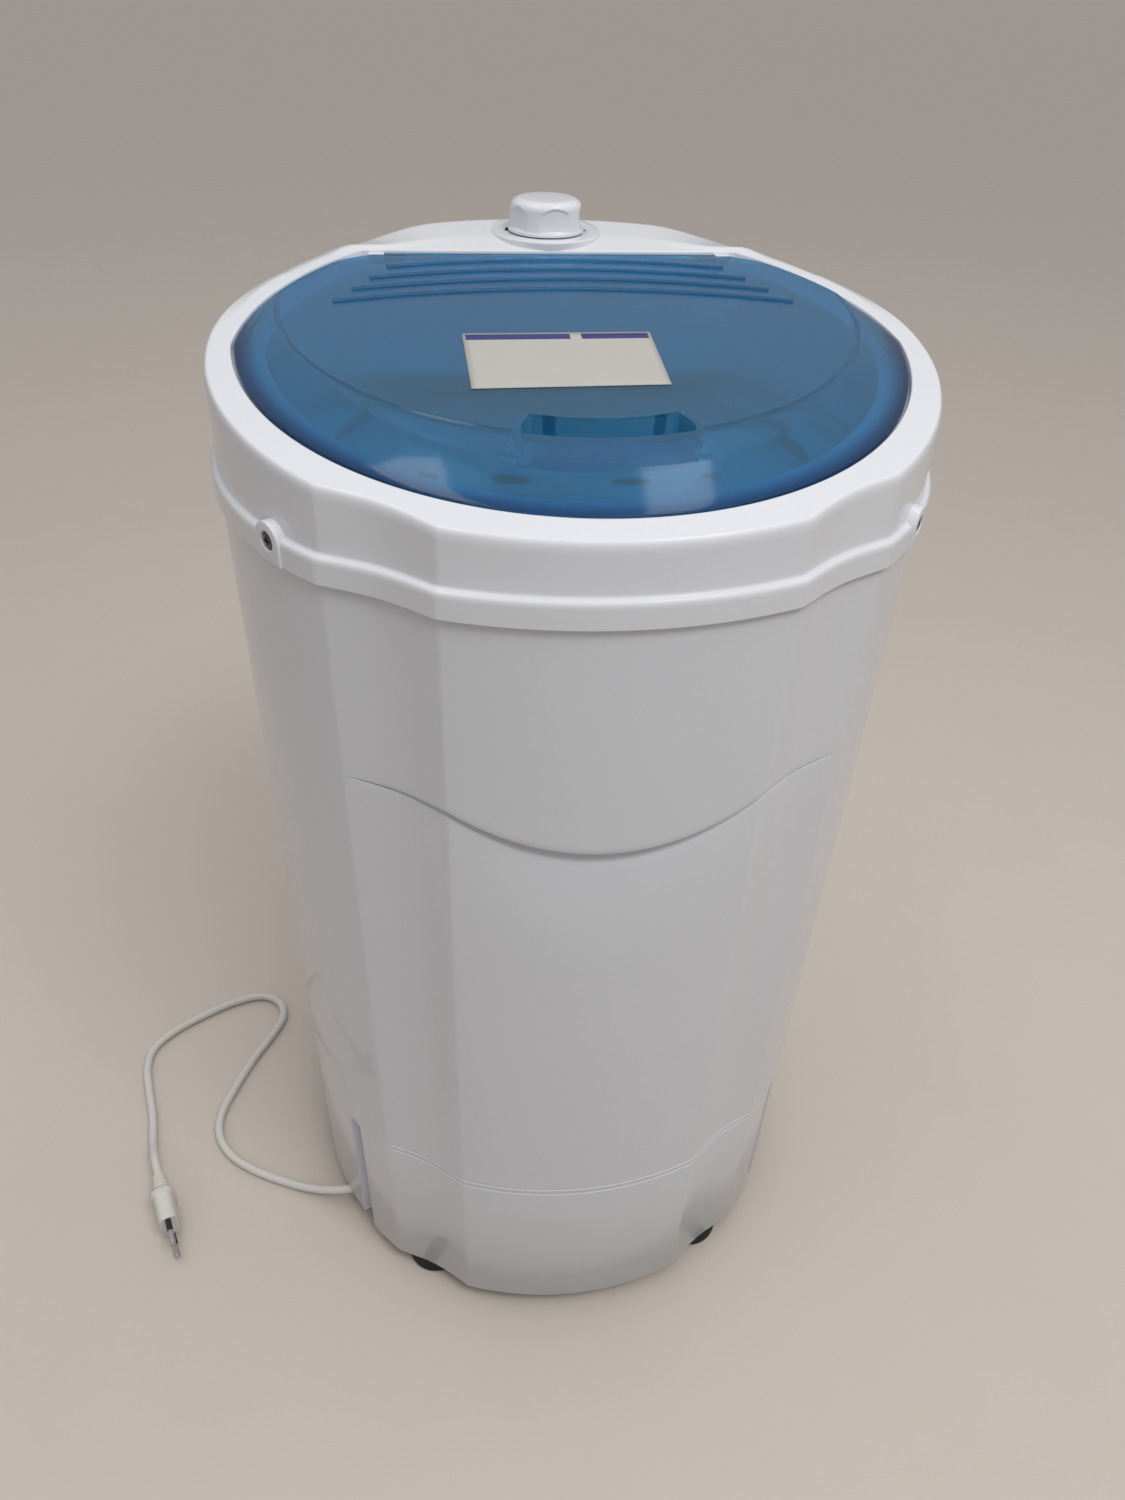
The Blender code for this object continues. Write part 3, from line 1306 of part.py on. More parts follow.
def make_brake():
    bore = SHAFT_RADIUS + GAP
    drum = [
        (bore, DRUM_BOTTOM),
        (DRUM_RADIUS - DRUM_CHAMFER, DRUM_BOTTOM),
        (DRUM_RADIUS, DRUM_BOTTOM + DRUM_CHAMFER),
        (DRUM_RADIUS, DRUM_TOP - DRUM_CHAMFER),
        (DRUM_RADIUS - DRUM_CHAMFER, DRUM_TOP),
        (bore, DRUM_TOP),
    ]
    turned("brake_drum", drum, 24, "dark_steel")
    x, y = BRAKE_PIVOT
    half = LEVER_WIDTH / 2
    plate_low = MOTOR_TOP + GAP
    plate_high = plate_low + MOTOR_WALL
    inner_edge = DRUM_RADIUS + BRAKE_GAP
    bracket = [(inner_edge, y - BRACKET_REACH), (x + 2 * half, y - BRACKET_REACH), (x + 2 * half, y + 2 * half)]
    bracket += [(inner_edge, y + 2 * half)]
    bracket = prism("brake_bracket", bracket, plate_low, plate_high, "steel")
    pin_hole = circle(BRAKE_PIN_RADIUS + GAP, 12, BRAKE_PIVOT)
    shape_with(bracket, "DIFFERENCE", [prism("hole", pin_hole, plate_low - WALL, plate_high + WALL, None)])
    lever_low = DRUM_BOTTOM + DRUM_HEIGHT / 2 - LEVER_THICKNESS / 2
    lever_high = lever_low + LEVER_THICKNESS
    pin_top = lever_high + BRAKE_PIN_END
    rod("brake_pivot", (x, y, plate_low), (x, y, pin_top), BRAKE_PIN_RADIUS, 12, "steel")
    end = y - LEVER_REACH
    heel = y + 1.5 * half
    lever = [(x - half, end), (x + half, end), (x + half, heel), (x - half, heel)]
    lever = prism("brake_lever", lever, lever_low, lever_high, "steel")
    shape_with(lever, "DIFFERENCE", [prism("hole", pin_hole, lever_low - WALL, lever_high + WALL, None)])
    face = [SHOE_HALF_ANGLE * (i / 3 - 1) for i in range(7)]
    shoe = [(inner_edge * math.cos(turn), inner_edge * math.sin(turn)) for turn in face]
    shoe += [(x - half - GAP, shoe[-1][1]), (x - half - GAP, shoe[0][1])]
    middle = DRUM_BOTTOM + DRUM_HEIGHT / 2
    prism("brake_shoe", shoe, middle - SHOE_HEIGHT / 2, middle + SHOE_HEIGHT / 2, "bronze")
    spring_radius = BRAKE_PIN_RADIUS + BRAKE_SPRING_GAP + BRAKE_SPRING_WIRE
    foot = lever_high + GAP
    coil("brake_spring", BRAKE_PIVOT, foot, pin_top - GAP, spring_radius, BRAKE_SPRING_WIRE, 3, "steel")
    hook = (x + half + 2 * GAP, end + half, middle)
    cable_x, cable_y = cable_place()
    seat = top_height(cable_y) - 2 * HINGE_RADIUS - 3 * GAP - WALL
    route = [
        hook,
        (hook[0] + 0.012, hook[1], middle),
        (0.095, -0.010, middle),
        (0.112, 0.045, middle + 0.002),
        (cable_x + 0.004, cable_y - 0.030, middle + 0.006),
        (cable_x, cable_y - 0.004, TUB_UNDER + 0.02),
        (cable_x, cable_y, TUB_UNDER + 0.08),
        (cable_x, cable_y, CASING_TOP - 0.02),
        (cable_x, cable_y, seat - 2 * GAP - CABLE_RADIUS),
    ]
    wire("brake_cable", smooth_route(route, 0.018), CABLE_RADIUS, 1, "black_plastic")


def make_tub():
    loops = []
    corner = TUB_CORNER
    for angle in both_sides(outline_angles()):
        flange = plan_radius(angle) - BAND_WALL - 4 * GAP
        section = [
            (SEAL_HOLE_RADIUS, TUB_UNDER),
            (TUB_RADIUS - corner, TUB_UNDER),
            (TUB_RADIUS, TUB_UNDER + corner),
            (TUB_RADIUS, CASING_TOP + GAP),
            (flange, CASING_TOP + GAP),
            (flange, FLANGE_TOP),
            (TUB_RADIUS - WALL, FLANGE_TOP),
            (TUB_RADIUS - WALL, TUB_TOP + corner),
            (TUB_RADIUS - corner, TUB_TOP),
            (SEAL_HOLE_RADIUS, TUB_TOP),
        ]
        loops.append([at(angle, radius, height) for radius, height in section])
    tub = lofted_ring("outer_tub", loops, "white")
    drain = circle(DRAIN_BORE, 14, (0.0, DRAIN_Y))
    cable = circle(2 * CABLE_RADIUS + 3 * GAP, 12, cable_place())
    cuts = [
        prism("drain", drain, TUB_UNDER - WALL, TUB_TOP + WALL, None),
        prism("cable", cable, CASING_TOP - WALL, FLANGE_TOP + WALL, None),
    ]
    for angle in screw_angles().values():
        cuts.append(tab_block(angle, BODY_RADIUS, CASING_TOP - WALL, FLANGE_TOP + WALL, 2 * GAP))
    shape_with(tub, "DIFFERENCE", cuts)


def make_splash_ring():
    outer = TUB_RADIUS - WALL - SPLASH_GAP
    low = BASKET_TOP + SPLASH_LIFT
    rest = FLANGE_TOP + GAP
    thick = TUB_FLANGE
    profile = [
        (SPLASH_RADIUS, low),
        (outer, low),
        (outer, rest),
        (outer + SPLASH_FLANGE, rest),
        (outer + SPLASH_FLANGE, rest + thick),
        (outer - thick, rest + thick),
        (outer - thick, low + thick),
        (SPLASH_RADIUS + thick / 2, low + thick),
        (SPLASH_RADIUS, low + thick / 2),
    ]
    ring = turned("splash_ring", profile, 30, "white")
    middle = (SPLASH_RADIUS + outer) / 2
    cuts = []
    for i in range(SPLASH_SLOTS):
        turn = math.tau * (i + 0.5) / SPLASH_SLOTS
        outline = []
        for x, y in circle(SPLASH_SLOT_RADIUS, 8):
            along = 1.7 * y
            px, py = middle + x, along
            outline.append(
                (px * math.cos(turn) - py * math.sin(turn), px * math.sin(turn) + py * math.cos(turn))
            )
        cuts.append(prism("slot", outline, low - WALL, low + thick + WALL, None))
    shape_with(ring, "DIFFERENCE", cuts)


def make_seal():
    bush = BUSH_RADIUS + GAP
    sleeve = SEAL_HOLE_RADIUS - 2 * GAP
    fold = (sleeve - bush) / 5
    thick = SEAL_THICKNESS
    flange = SEAL_HOLE_RADIUS + SEAL_FLANGE
    profile = [
        (bush, TUB_TOP - SEAL_HEIGHT),
        (bush + 1.2 * fold, TUB_TOP - SEAL_HEIGHT),
        (bush + 2.4 * fold, TUB_TOP - 0.75 * SEAL_HEIGHT),
        (bush + 3.6 * fold, TUB_TOP - 0.2 * SEAL_HEIGHT),
        (sleeve, TUB_TOP - 0.3 * SEAL_HEIGHT),
        (sleeve, TUB_TOP + GAP),
        (flange, TUB_TOP + GAP),
        (flange, TUB_TOP + GAP + thick),
        (sleeve - thick, TUB_TOP + GAP + thick),
        (bush + 3.2 * fold, TUB_TOP + 0.1 * SEAL_HEIGHT),
        (bush + 2.2 * fold, TUB_TOP - 0.35 * SEAL_HEIGHT),
        (bush + 1.2 * fold, TUB_TOP + SEAL_HEIGHT),
        (bush, TUB_TOP + SEAL_HEIGHT),
    ]
    turned("shaft_seal", profile, 18, "rubber")
    low, high = TUB_TOP - SEAL_HEIGHT + GAP, TUB_TOP + SEAL_HEIGHT - GAP
    ring = [(SHAFT_RADIUS + GAP, low), (BUSH_RADIUS, low), (BUSH_RADIUS, high), (SHAFT_RADIUS + GAP, high)]
    turned("seal_bush", ring, 20, "bronze")
    rest = TUB_TOP + GAP + thick + GAP
    clamp = [(SEAL_HOLE_RADIUS, rest), (flange, rest), (flange, rest + SHEET), (SEAL_HOLE_RADIUS, rest + SHEET)]
    turned("seal_clamp", clamp, 18, "steel")


def make_basket():
    bore = SHAFT_RADIUS + GAP
    corner = BASKET_CORNER
    rim_low = BASKET_TOP - 2 * BASKET_RIM
    profile = [
        (bore, HUB_UNDER),
        (0.4 * HUB_RADIUS, HUB_UNDER),
        (HUB_RADIUS, BASKET_BOTTOM),
        (BASKET_RADIUS - corner, BASKET_BOTTOM),
        (BASKET_RADIUS, BASKET_BOTTOM + corner),
        (BASKET_RADIUS, rim_low),
        (BASKET_RADIUS + BASKET_RIM, rim_low + BASKET_RIM / 2),
        (BASKET_RADIUS + BASKET_RIM, BASKET_TOP),
        (BASKET_RADIUS - WALL, BASKET_TOP),
        (BASKET_RADIUS - WALL, BASKET_BOTTOM + corner),
        (BASKET_RADIUS - corner, BASKET_BOTTOM + WALL),
        (HUB_RADIUS + WALL / 2, BASKET_BOTTOM + WALL),
        (0.4 * HUB_RADIUS + WALL / 2, HUB_TOP),
        (bore, HUB_TOP),
    ]
    basket = turned("spin_basket", profile, 30, "white")
    cuts = []
    for row in range(HOLE_ROWS):
        height = BASKET_BOTTOM + (BASKET_TOP - BASKET_BOTTOM) * (row + 1) / (HOLE_ROWS + 1)
        for i in range(HOLES_IN_ROW):
            turn = math.tau * (i + 0.5 * (row % 2)) / HOLES_IN_ROW
            start = at(turn, BASKET_RADIUS - 3 * WALL, height)
            end = at(turn, BASKET_RADIUS + 2 * WALL, height)
            cuts.append(rod("hole", start, end, HOLE_RADIUS, 6, None))
    shape_with(basket, "DIFFERENCE", cuts)
    collar = HUB_UNDER - GAP
    nut_foot = HUB_TOP + GAP
    nut_height = NUT_HEIGHT
    shaft = [
        (0.0, DRUM_BOTTOM + DRUM_HEIGHT / 2),
        (SHAFT_RADIUS, DRUM_BOTTOM + DRUM_HEIGHT / 2),
        (SHAFT_RADIUS, collar - SHAFT_COLLAR),
        (2 * SHAFT_RADIUS, collar - SHAFT_COLLAR),
        (2 * SHAFT_RADIUS, collar),
        (SHAFT_RADIUS, collar),
        (SHAFT_RADIUS, nut_foot + nut_height + SHAFT_END),
        (0.0, nut_foot + nut_height + SHAFT_END),
    ]
    turned("basket_shaft", shaft, 20, "steel")
    nut = prism("basket_nut", circle(1.6 * SHAFT_RADIUS, 6), nut_foot, nut_foot + nut_height, "steel")
    bore_outline = circle(bore, 20)
    shape_with(nut, "DIFFERENCE", [prism("bore", bore_outline, nut_foot - WALL, nut_foot + nut_height + WALL, None)])


def make_press_disc():
    low = BASKET_TOP - DISC_DROP
    edge = BASKET_RADIUS - WALL - DISC_GAP
    lip = DISC_LIP
    profile = [
        (0.0, low),
        (edge - WALL, low),
        (edge - WALL, low - lip),
        (edge, low - lip),
        (edge, low + DISC_THICKNESS),
        (0.0, low + DISC_THICKNESS),
    ]
    disc = turned("press_disc", profile, 30, "white")
    cuts = []
    finger_holes = (FINGER_HOLE_PLACE, 2, FINGER_HOLE_RADIUS)
    vents = (VENT_PLACE, VENT_COUNT, VENT_RADIUS)
    for radius, count, hole in (finger_holes, vents):
        for i in range(count):
            turn = math.tau * i / count
            centre = (radius * math.cos(turn), radius * math.sin(turn))
            cuts.append(prism("hole", circle(hole, 10, centre), low - WALL, low + 2 * WALL, None))
    shape_with(disc, "DIFFERENCE", cuts)


def make_drain():
    top = TUB_UNDER - GAP
    bend = HOSE_BEND
    joint = DRAIN_Y + 0.92 * bend
    route = [
        (0, DRAIN_Y, top),
        (0, DRAIN_Y, top - bend),
        (0, DRAIN_Y, SPOUT_HEIGHT + 1.7 * bend),
        (0, DRAIN_Y, SPOUT_HEIGHT + bend),
        (0, DRAIN_Y + 0.15 * bend, SPOUT_HEIGHT + 0.42 * bend),
        (0, DRAIN_Y + 0.42 * bend, SPOUT_HEIGHT + 0.12 * bend),
        (0, DRAIN_Y + 0.73 * bend, SPOUT_HEIGHT),
        (0, joint, SPOUT_HEIGHT),
    ]
    hollow_tube("drain_hose", route, DRAIN_RADIUS, DRAIN_BORE, 12, "grey_plastic")
    outside = casing_outer(math.pi, SPOUT_HEIGHT)
    reach = [(0, joint + GAP, SPOUT_HEIGHT), (0, outside + SPOUT_PROUD, SPOUT_HEIGHT)]
    hollow_tube("drain_spout", reach, DRAIN_RADIUS, DRAIN_BORE, 16, "grey_plastic")


def cord_route():
    lie = CORD_RADIUS + GAP
    start = GLAND_ROOT[0] - GLAND_LENGTH - 2 * GAP
    heading = Vector((*PLUG_HEADING, 0.0)).normalized()
    plug = Vector(PLUG_PLACE) - GAP * heading
    before = plug - 0.016 * heading
    return [
        (start, GLAND_ROOT[1], CORD_HEIGHT),
        (start - 6 * CORD_RADIUS, GLAND_ROOT[1], CORD_HEIGHT),
        (-0.166, -0.0702, 0.0112),
        (-0.182, -0.0640, 0.0060),
        (-0.200, -0.0560, lie),
        (-0.225, -0.0435, lie),
        (-0.244, -0.0290, lie),
        (-0.255, -0.0110, lie),
        (-0.256, 0.0090, lie),
        (-0.248, 0.0330, lie),
        (-0.236, 0.0600, lie),
        (-0.223, 0.0830, lie),
        (-0.216, 0.1010, lie),
        (-0.221, 0.1170, lie),
        (-0.237, 0.1250, lie),
        (-0.260, 0.1200, lie),
        (-0.284, 0.1080, lie),
        (-0.306, 0.0930, lie),
        (-0.319, 0.0770, lie),
        (-0.321, 0.0590, lie),
        (-0.316, 0.0370, lie),
        (-0.309, 0.0120, lie),
        (-0.304, -0.0130, lie + 0.0025),
        before,
        plug,
    ]


def make_mains_lead():
    x, y = GLAND_ROOT
    flange = 0.003
    tip = 1.4 * CORD_RADIUS
    profile = [
        (0.0, GAP),
        (GLAND_RADIUS, GAP),
        (GLAND_RADIUS, flange),
        (0.8 * GLAND_RADIUS, flange + 0.001),
        (tip, GLAND_LENGTH),
        (0.0, GLAND_LENGTH),
    ]
    gland = turned("cord_gland", profile, 14, "cord_white")
    aim = Vector((-1, 0, 0)).to_track_quat("Z", "Y").to_matrix().to_4x4()
    gland.data.transform(Matrix.Translation((x, y, CORD_HEIGHT)) @ aim)
    wire("power_cord", smooth_route(cord_route(), 5 * CORD_RADIUS), CORD_RADIUS, 2, "cord_white")
    make_plug()


def make_plug():
    """Plug of two round pins, standing on its narrow side."""
    place = Vector(PLUG_PLACE)
    heading = Vector((*PLUG_HEADING, 0.0)).normalized()
    side = heading.cross(Vector((0, 0, 1)))
    up = Vector((0, 0, 1))
    sides = 16

    def section(distance, half_width, half_height):
        middle = place + heading * distance
        points = []
        for i in range(sides):
            turn = math.tau * (i + 0.5) / sides
            across, rise = math.cos(turn), math.sin(turn)
            # A rounded oblong: each direction is pushed out towards the corner.
            across = math.copysign(abs(across) ** 0.6, across)
            rise = math.copysign(abs(rise) ** 0.6, rise)
            points.append(middle + side * half_width * across + up * half_height * rise)
        return points

    brim_width, brim_height = PLUG_HALF_WIDTH + 0.0015, PLUG_HALF_HEIGHT + 0.001
    neck = PLUG_SLEEVE
    collar = neck + PLUG_FLANGE
    end = collar + PLUG_BODY
    loops = [
        section(0.0, 1.5 * CORD_RADIUS, 1.5 * CORD_RADIUS),
        section(0.7 * neck, 1.9 * CORD_RADIUS, 2.0 * CORD_RADIUS),
        section(neck, 0.9 * PLUG_HALF_WIDTH, 0.85 * PLUG_HALF_HEIGHT),
        section(neck + 0.0005, brim_width, brim_height),
        section(collar, brim_width, brim_height),
        section(collar + 0.0005, PLUG_HALF_WIDTH, PLUG_HALF_HEIGHT),
        section(end - 0.001, 0.97 * PLUG_HALF_WIDTH, 0.97 * PLUG_HALF_HEIGHT),
        section(end, 0.88 * PLUG_HALF_WIDTH, 0.93 * PLUG_HALF_HEIGHT),
    ]
    stacked("plug_body", loops, "cord_white")
    for name, sign in (("lower", -1), ("upper", 1)):
        start = place + heading * (end + GAP) + up * sign * PIN_SPACING / 2
        rod(f"plug_pin_{name}", start, start + heading * PIN_LENGTH, PIN_RADIUS, 12, "steel")


def main():
    clear_scene()
    make_casing()
    make_top_cover()
    make_base_plate()
    make_feet()
    make_drain_panel()
    make_cover_screws()
    make_lid()
    make_hinge_pins()
    make_lid_switch()
    make_timer()
    make_tub()
    make_splash_ring()
    make_seal()
    make_basket()
    make_press_disc()
    make_drain()
    make_motor()
    make_motor_mount()
    make_capacitor()
    make_brake()
    make_mains_lead()


main()
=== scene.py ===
"""Looks of a portable mini washer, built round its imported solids."""

import json
from math import asin, atan2, copysign, cos, pi, radians, sin, sqrt, tan, tau

import bmesh
import bpy
from mathutils import Euler, Matrix, Vector


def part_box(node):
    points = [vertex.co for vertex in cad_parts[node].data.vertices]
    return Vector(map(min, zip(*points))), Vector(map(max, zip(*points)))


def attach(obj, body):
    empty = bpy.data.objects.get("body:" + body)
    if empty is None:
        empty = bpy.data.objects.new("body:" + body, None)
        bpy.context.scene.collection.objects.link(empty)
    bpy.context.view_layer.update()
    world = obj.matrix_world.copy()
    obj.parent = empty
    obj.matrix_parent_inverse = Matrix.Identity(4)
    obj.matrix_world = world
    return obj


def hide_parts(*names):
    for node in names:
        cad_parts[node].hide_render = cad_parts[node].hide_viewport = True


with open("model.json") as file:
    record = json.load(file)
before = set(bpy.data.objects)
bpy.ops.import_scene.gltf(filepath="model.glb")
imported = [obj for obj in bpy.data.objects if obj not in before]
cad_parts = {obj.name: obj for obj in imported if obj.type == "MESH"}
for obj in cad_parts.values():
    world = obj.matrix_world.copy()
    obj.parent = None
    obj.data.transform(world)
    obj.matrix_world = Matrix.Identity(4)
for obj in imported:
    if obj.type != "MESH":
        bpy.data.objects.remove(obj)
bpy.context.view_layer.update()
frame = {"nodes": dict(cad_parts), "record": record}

# Sizes that the solids share, in metres
GAP = 0.0003
WALL = 0.0025
BODY_RADIUS = 0.175
NOSE_ANGLE = radians(25)
SCOOP_ANGLE = radians(43.5)
NOSE_INSET = 0.004
NOSE_CORNER_INSET = 0.001
SCOOP_DEPTH = 0.005
REAR_FLAT_ANGLE = radians(30)
CORNERS = ("front_left", "front_right", "rear_left", "rear_right")

# Rounding of the body's upright edges, and what counts as equal
EDGE_SOFTNESS = radians(0.4)
EDGE_SAMPLES = 7
EDGE_REACH = 1.4
LEAST_TURN = 1e-3
NEAR = 1e-5
ON_AXIS = 1e-7

# Casing
LEDGE_HEIGHT = 0.553
CASING_TOP = 0.5454
CASING_DRAFT = 0.003
CASING_CLEARANCE = 0.014
CASING_HEM = ((0.0, 0.0010), (0.0003, 0.0004), (0.0009, 0.0))
SIDE_CLEARANCE = 0.020
SMILE_DROP = 0.131
SMILE_LIFT = 0.019
SMILE_STEP = 0.0035
SMILE_CUT = 0.0038
SMILE_MOUTH = 0.0092
SMILE_HOLLOW = 0.0085
SMILE_REACH = 0.075
SMILE_END = radians(4)
SMILE_SPAN = 1.02 * SCOOP_ANGLE
LEAST_END = 0.002
LEAST_GAPE = 0.12
LEAST_HOLLOW = 0.45
SLOT_ANGLE = radians(54.5)
SLOT_WIDTH = 0.012
SLOT_DEPTH = 0.005
SLOT_LEAN = 0.15
SLOT_TOP = 0.122
SLOT_EDGE = 0.001
SLOT_RAMP = 0.0135
GROOVE_HEIGHTS = (0.1405, 0.1452)
GROOVE_HALF_WIDTH = 0.0009
GROOVE_DEPTH = 0.0006
GROOVE_ANGLE = radians(45)
GROOVE_FADE = radians(6)
PANEL_HALF_WIDTH = 0.030
PANEL_MARGIN = 0.034
PANEL_INNER_RADIUS = 0.135
SPOUT_HEIGHT = 0.066
SPOUT_RADIUS = 0.0105
SPOUT_START = 0.128
SPOUT_LENGTH = 0.06

# Shapes of the casing's fine relief, as shares of the sizes above, apart from the brow's rises in metres
GROOVE_PROFILE = ((-1, 0), (-0.9, 1.0), (-0.3, 0.75), (0.4, 0.35), (1, 0))
SMILE_SLOPE = (1.0, 0.86, 0.72, 0.58, 0.45, 0.33, 0.22, 0.13, 0.06, 0.02)
SMILE_UNDERCUT = ((0.06, 0.02), (0.25, 0.08), (0.6, 0.22), (0.92, 0.5), (1.0, 0.8), (0.95, 0.97))
SMILE_BROW = ((0.0, 0.6), (0.00005, 0.12), (0.0002, 0.03), (0.0007, 0.0), (0.004, 0.0))

# Top cover
BAND_HEIGHT = 0.012
BAND_WALL = 0.0022
BAND_ROUND = 0.0028
TIER_INSET = 0.0035
TOP_RISE = 0.0468
TOP_SLOPE = tan(radians(8))
SQUASH = 1 / sqrt(1 + TOP_SLOPE**2)
TOP_FILLET = 0.010
FRONT_FILLET = 0.0045
FILLET_START = radians(75)
FILLET_SPAN = radians(40)
COVER_LIP = 0.0015
SHOULDER = 0.548
THROAT_FOOT = 0.553
DECK_RAISE = 0.0045
DECK_ARC_RADIUS = 0.199
DECK_ARC_CENTRE = -0.074
DECK_WALL_RUN = 0.006
DECK_FADE_START = radians(130)
DECK_FADE_SPAN = radians(13)
DECK_LEVEL = 0.61828
DECK_TILT = 0.076
SHOULDER_DROP = 0.0063
SHOULDER_START = radians(92)
SHOULDER_SPAN = radians(34)
SHOULDER_END = radians(136)
SHOULDER_FADE = radians(22)
BOSS_ANGLE = radians(53)
BOSS_RADIUS = 0.0085
BOSS_PROUD = 0.001
BOSS_FLARE = 2.4
BOSS_STRETCH = 1.6
SCREW_DROP = 0.0025
SCREW_HEAD_RADIUS = 0.0038
SCREW_HEAD_HEIGHT = 0.0024
SCREW_SHANK = 0.0019
SCREW_SHANK_LENGTH = 0.007
SCREW_TIP = 0.002
SCREW_ROOM = 0.004
SCREW_SEAT = BOSS_PROUD - SCREW_HEAD_HEIGHT - GAP
SCREW_BORE = SCREW_HEAD_RADIUS + GAP

# Lid
LID_RADIUS = 0.158
LID_CENTRE = 0.0073
LID_REAR_CENTRE = -0.016
LID_GAP = 0.0016
LID_THICKNESS = 0.0024
LID_RIM = 0.0032
LID_RIM_TINT = (LID_RADIUS - 0.010, LID_RADIUS - 0.001)
LID_OVERSIZE = 0.0005
LID_CREASE_RADIUS = 0.140
LID_CREASE_SHIFT = 0.022
LID_CREASE_MARGIN = 0.007
LID_BROW_RADIUS = 0.124
LID_BROW_SHIFT = -0.013
LID_BROW_SLOPE = 0.12
LID_BROW_MARGIN = 0.005
LID_FRONT_RISE = 0.010
LID_REAR_RISE = 0.0015
LIP_INSET = 0.0045
CORNER_SLOPE = 0.5
CORNER_TRIM = 0.058
THROAT_INSET = 0.0135
THROAT_CHORD_INSET = 0.016
HINGE_Y = 0.1013
HINGE_RADIUS = 0.003
HINGE_SLACK = 0.0013
HINGE_HALF_LENGTH = 0.090
HINGE_EAR = 0.008
HINGE_PIN_RADIUS = 0.0014
HINGE_PIN_SEAT = 0.0112
HINGE_PIN_REACH = 0.012
CHORD_Y = HINGE_Y - 0.7 * HINGE_RADIUS
RECESS = (LID_RADIUS + LID_GAP, HINGE_Y + HINGE_RADIUS + HINGE_SLACK)
THROAT = (LID_RADIUS - THROAT_INSET, HINGE_Y - THROAT_CHORD_INSET)
RECESS_CORNER_TURN = 0.004
GRIP_HALF_WIDTH = 0.037
GRIP_FRONT = -0.106
GRIP_LENGTH = 0.018
GRIP_DEPTH = 0.013
GRIP_TAPER = 0.002
GRIP_BOW = 0.005
GRIP_CHAMFER = (0.0045, 0.011)
GRIP_OPENING = 0.03
CREASE_STEP = 0.0007
RIB_COUNT = 4
RIB_PITCH = 0.0136
RIB_WIDTH = 0.003
RIB_HEIGHT = 0.0014
RIB_FIRST = 0.012
RIB_HALF_LENGTH = 0.0885
RIB_GROWTH = 0.0085
RIB_BOW = 0.011
RIB_BOW_GROWTH = 0.0018
RIB_RUN = 0.05
LABEL_CORNERS = ((-0.0534, -0.0665), (0.0332, -0.0640), (0.0335, -0.0076), (-0.0545, -0.0090))
LABEL_LIFT = 0.0002
LABEL_THICKNESS = 0.00015

# Timer
KNOB_Y = 0.1365
COLLAR_RADIUS = 0.0307
COLLAR_TOP = 0.61868
COLLAR_DEPTH = 0.0127
COLLAR_WELL = 0.0232
COLLAR_WELL_DEPTH = 0.0004
COLLAR_MOAT = 0.0004
COLLAR_ROOM = 0.03
KNOB_RADIUS = 0.021
KNOB_HEIGHT = 0.0168
KNOB_LIFT = 0.0002
KNOB_SKIRT = 0.0028
KNOB_LOBES = 5
KNOB_FLUTE = 0.0014
KNOB_FLUTE_HALF = radians(26)
KNOB_FLUTE_TURN = radians(-80.6)
KNOB_FLUTE_DROP = 0.0026
KNOB_FLUTE_FALL = 0.0034
KNOB_FLUTE_FADE = 0.0012
KNOB_ROUND = 0.0060
KNOB_SHOULDER = 0.0050

# Inside. Holes are given as distance from the axis, count and radius
BASKET_RADIUS = 0.1265
BASKET_TOP = 0.530
DISC_GAP = 0.0004
DISC_THICKNESS = 0.003
DISC_DROP = 0.010
DISC_LIP = 0.006
FINGER_HOLES = (0.032, 2, 0.011)
VENTS = (0.075, 4, 0.006)
HOLE_SPAN = (-0.004, 0.008)

# Feet
FOOT_ANGLE = radians(38.5)
FOOT_DISTANCE = 0.146
FOOT_RADIUS = 0.020
FOOT_NECK = 0.010
FOOT_NECK_TOP = 0.0297
FOOT_HOLLOW = 0.0014

# Mains lead
CORD_RADIUS = 0.0031
CORD_HEIGHT = 0.0145
GLAND_X = -0.100
GLAND_Y = -0.0725
GLAND_LENGTH = 0.033
GLAND_RADIUS = 0.0075
GLAND_FLANGE = 0.004
GLAND_RINGS = 6
PLUG_PLACE = Vector((-0.2925, -0.0480, 0.0140))
PLUG_HEADING = Vector((0.339, -0.941, 0.0)).normalized()
PLUG_SLEEVE = 0.018
PLUG_FLANGE = 0.004
PLUG_BODY = 0.021
PLUG_HALF_WIDTH = 0.007
PLUG_HALF_HEIGHT = 0.0125
PLUG_GROOVES = 4
PIN_RADIUS = 0.002
PIN_LENGTH = 0.019
PIN_SPACING = 0.019
PIN_ROOT = 0.009

# Camera, found from the photograph
CAMERA_PLACE = Vector((-0.0759, -0.5224, 0.7551))
CAMERA_YAW = radians(8.43)
CAMERA_PITCH = radians(37.22)
CAMERA_ROLL = radians(2.35)
CAMERA_LENS = 26.0
CAMERA_SENSOR = 36.0

# Light, with sizes in metres and power in watts
LIGHT_TARGET = Vector((0.0, 0.0, 0.45))
CEILING_X = 0.55
CEILING_HEIGHT = 2.2
CEILING_SIZE = (0.30, 1.3)
CEILING_POWER = 2.4
CEILING_COLOUR = (1.0, 0.985, 0.96)
KEY_PLACE = (0.5, -1.04, 2.15)
KEY_SIZE = (0.6, 0.9)
KEY_POWER = 17.0
KEY_COLOUR = (1.0, 1.0, 1.0)
SKY_LOW = (0.22, 0.21, 0.205, 1.0)
SKY_HIGH = (0.62, 0.62, 0.64, 1.0)
FLOOR_HALF_WIDTH = 60.0
FLOOR_LEVEL = -0.0002
FLOOR_TINT = (0.68, 0.61, 0.535)
FLOOR_BOUNCE = (0.42, 0.385, 0.35)


# Node helpers


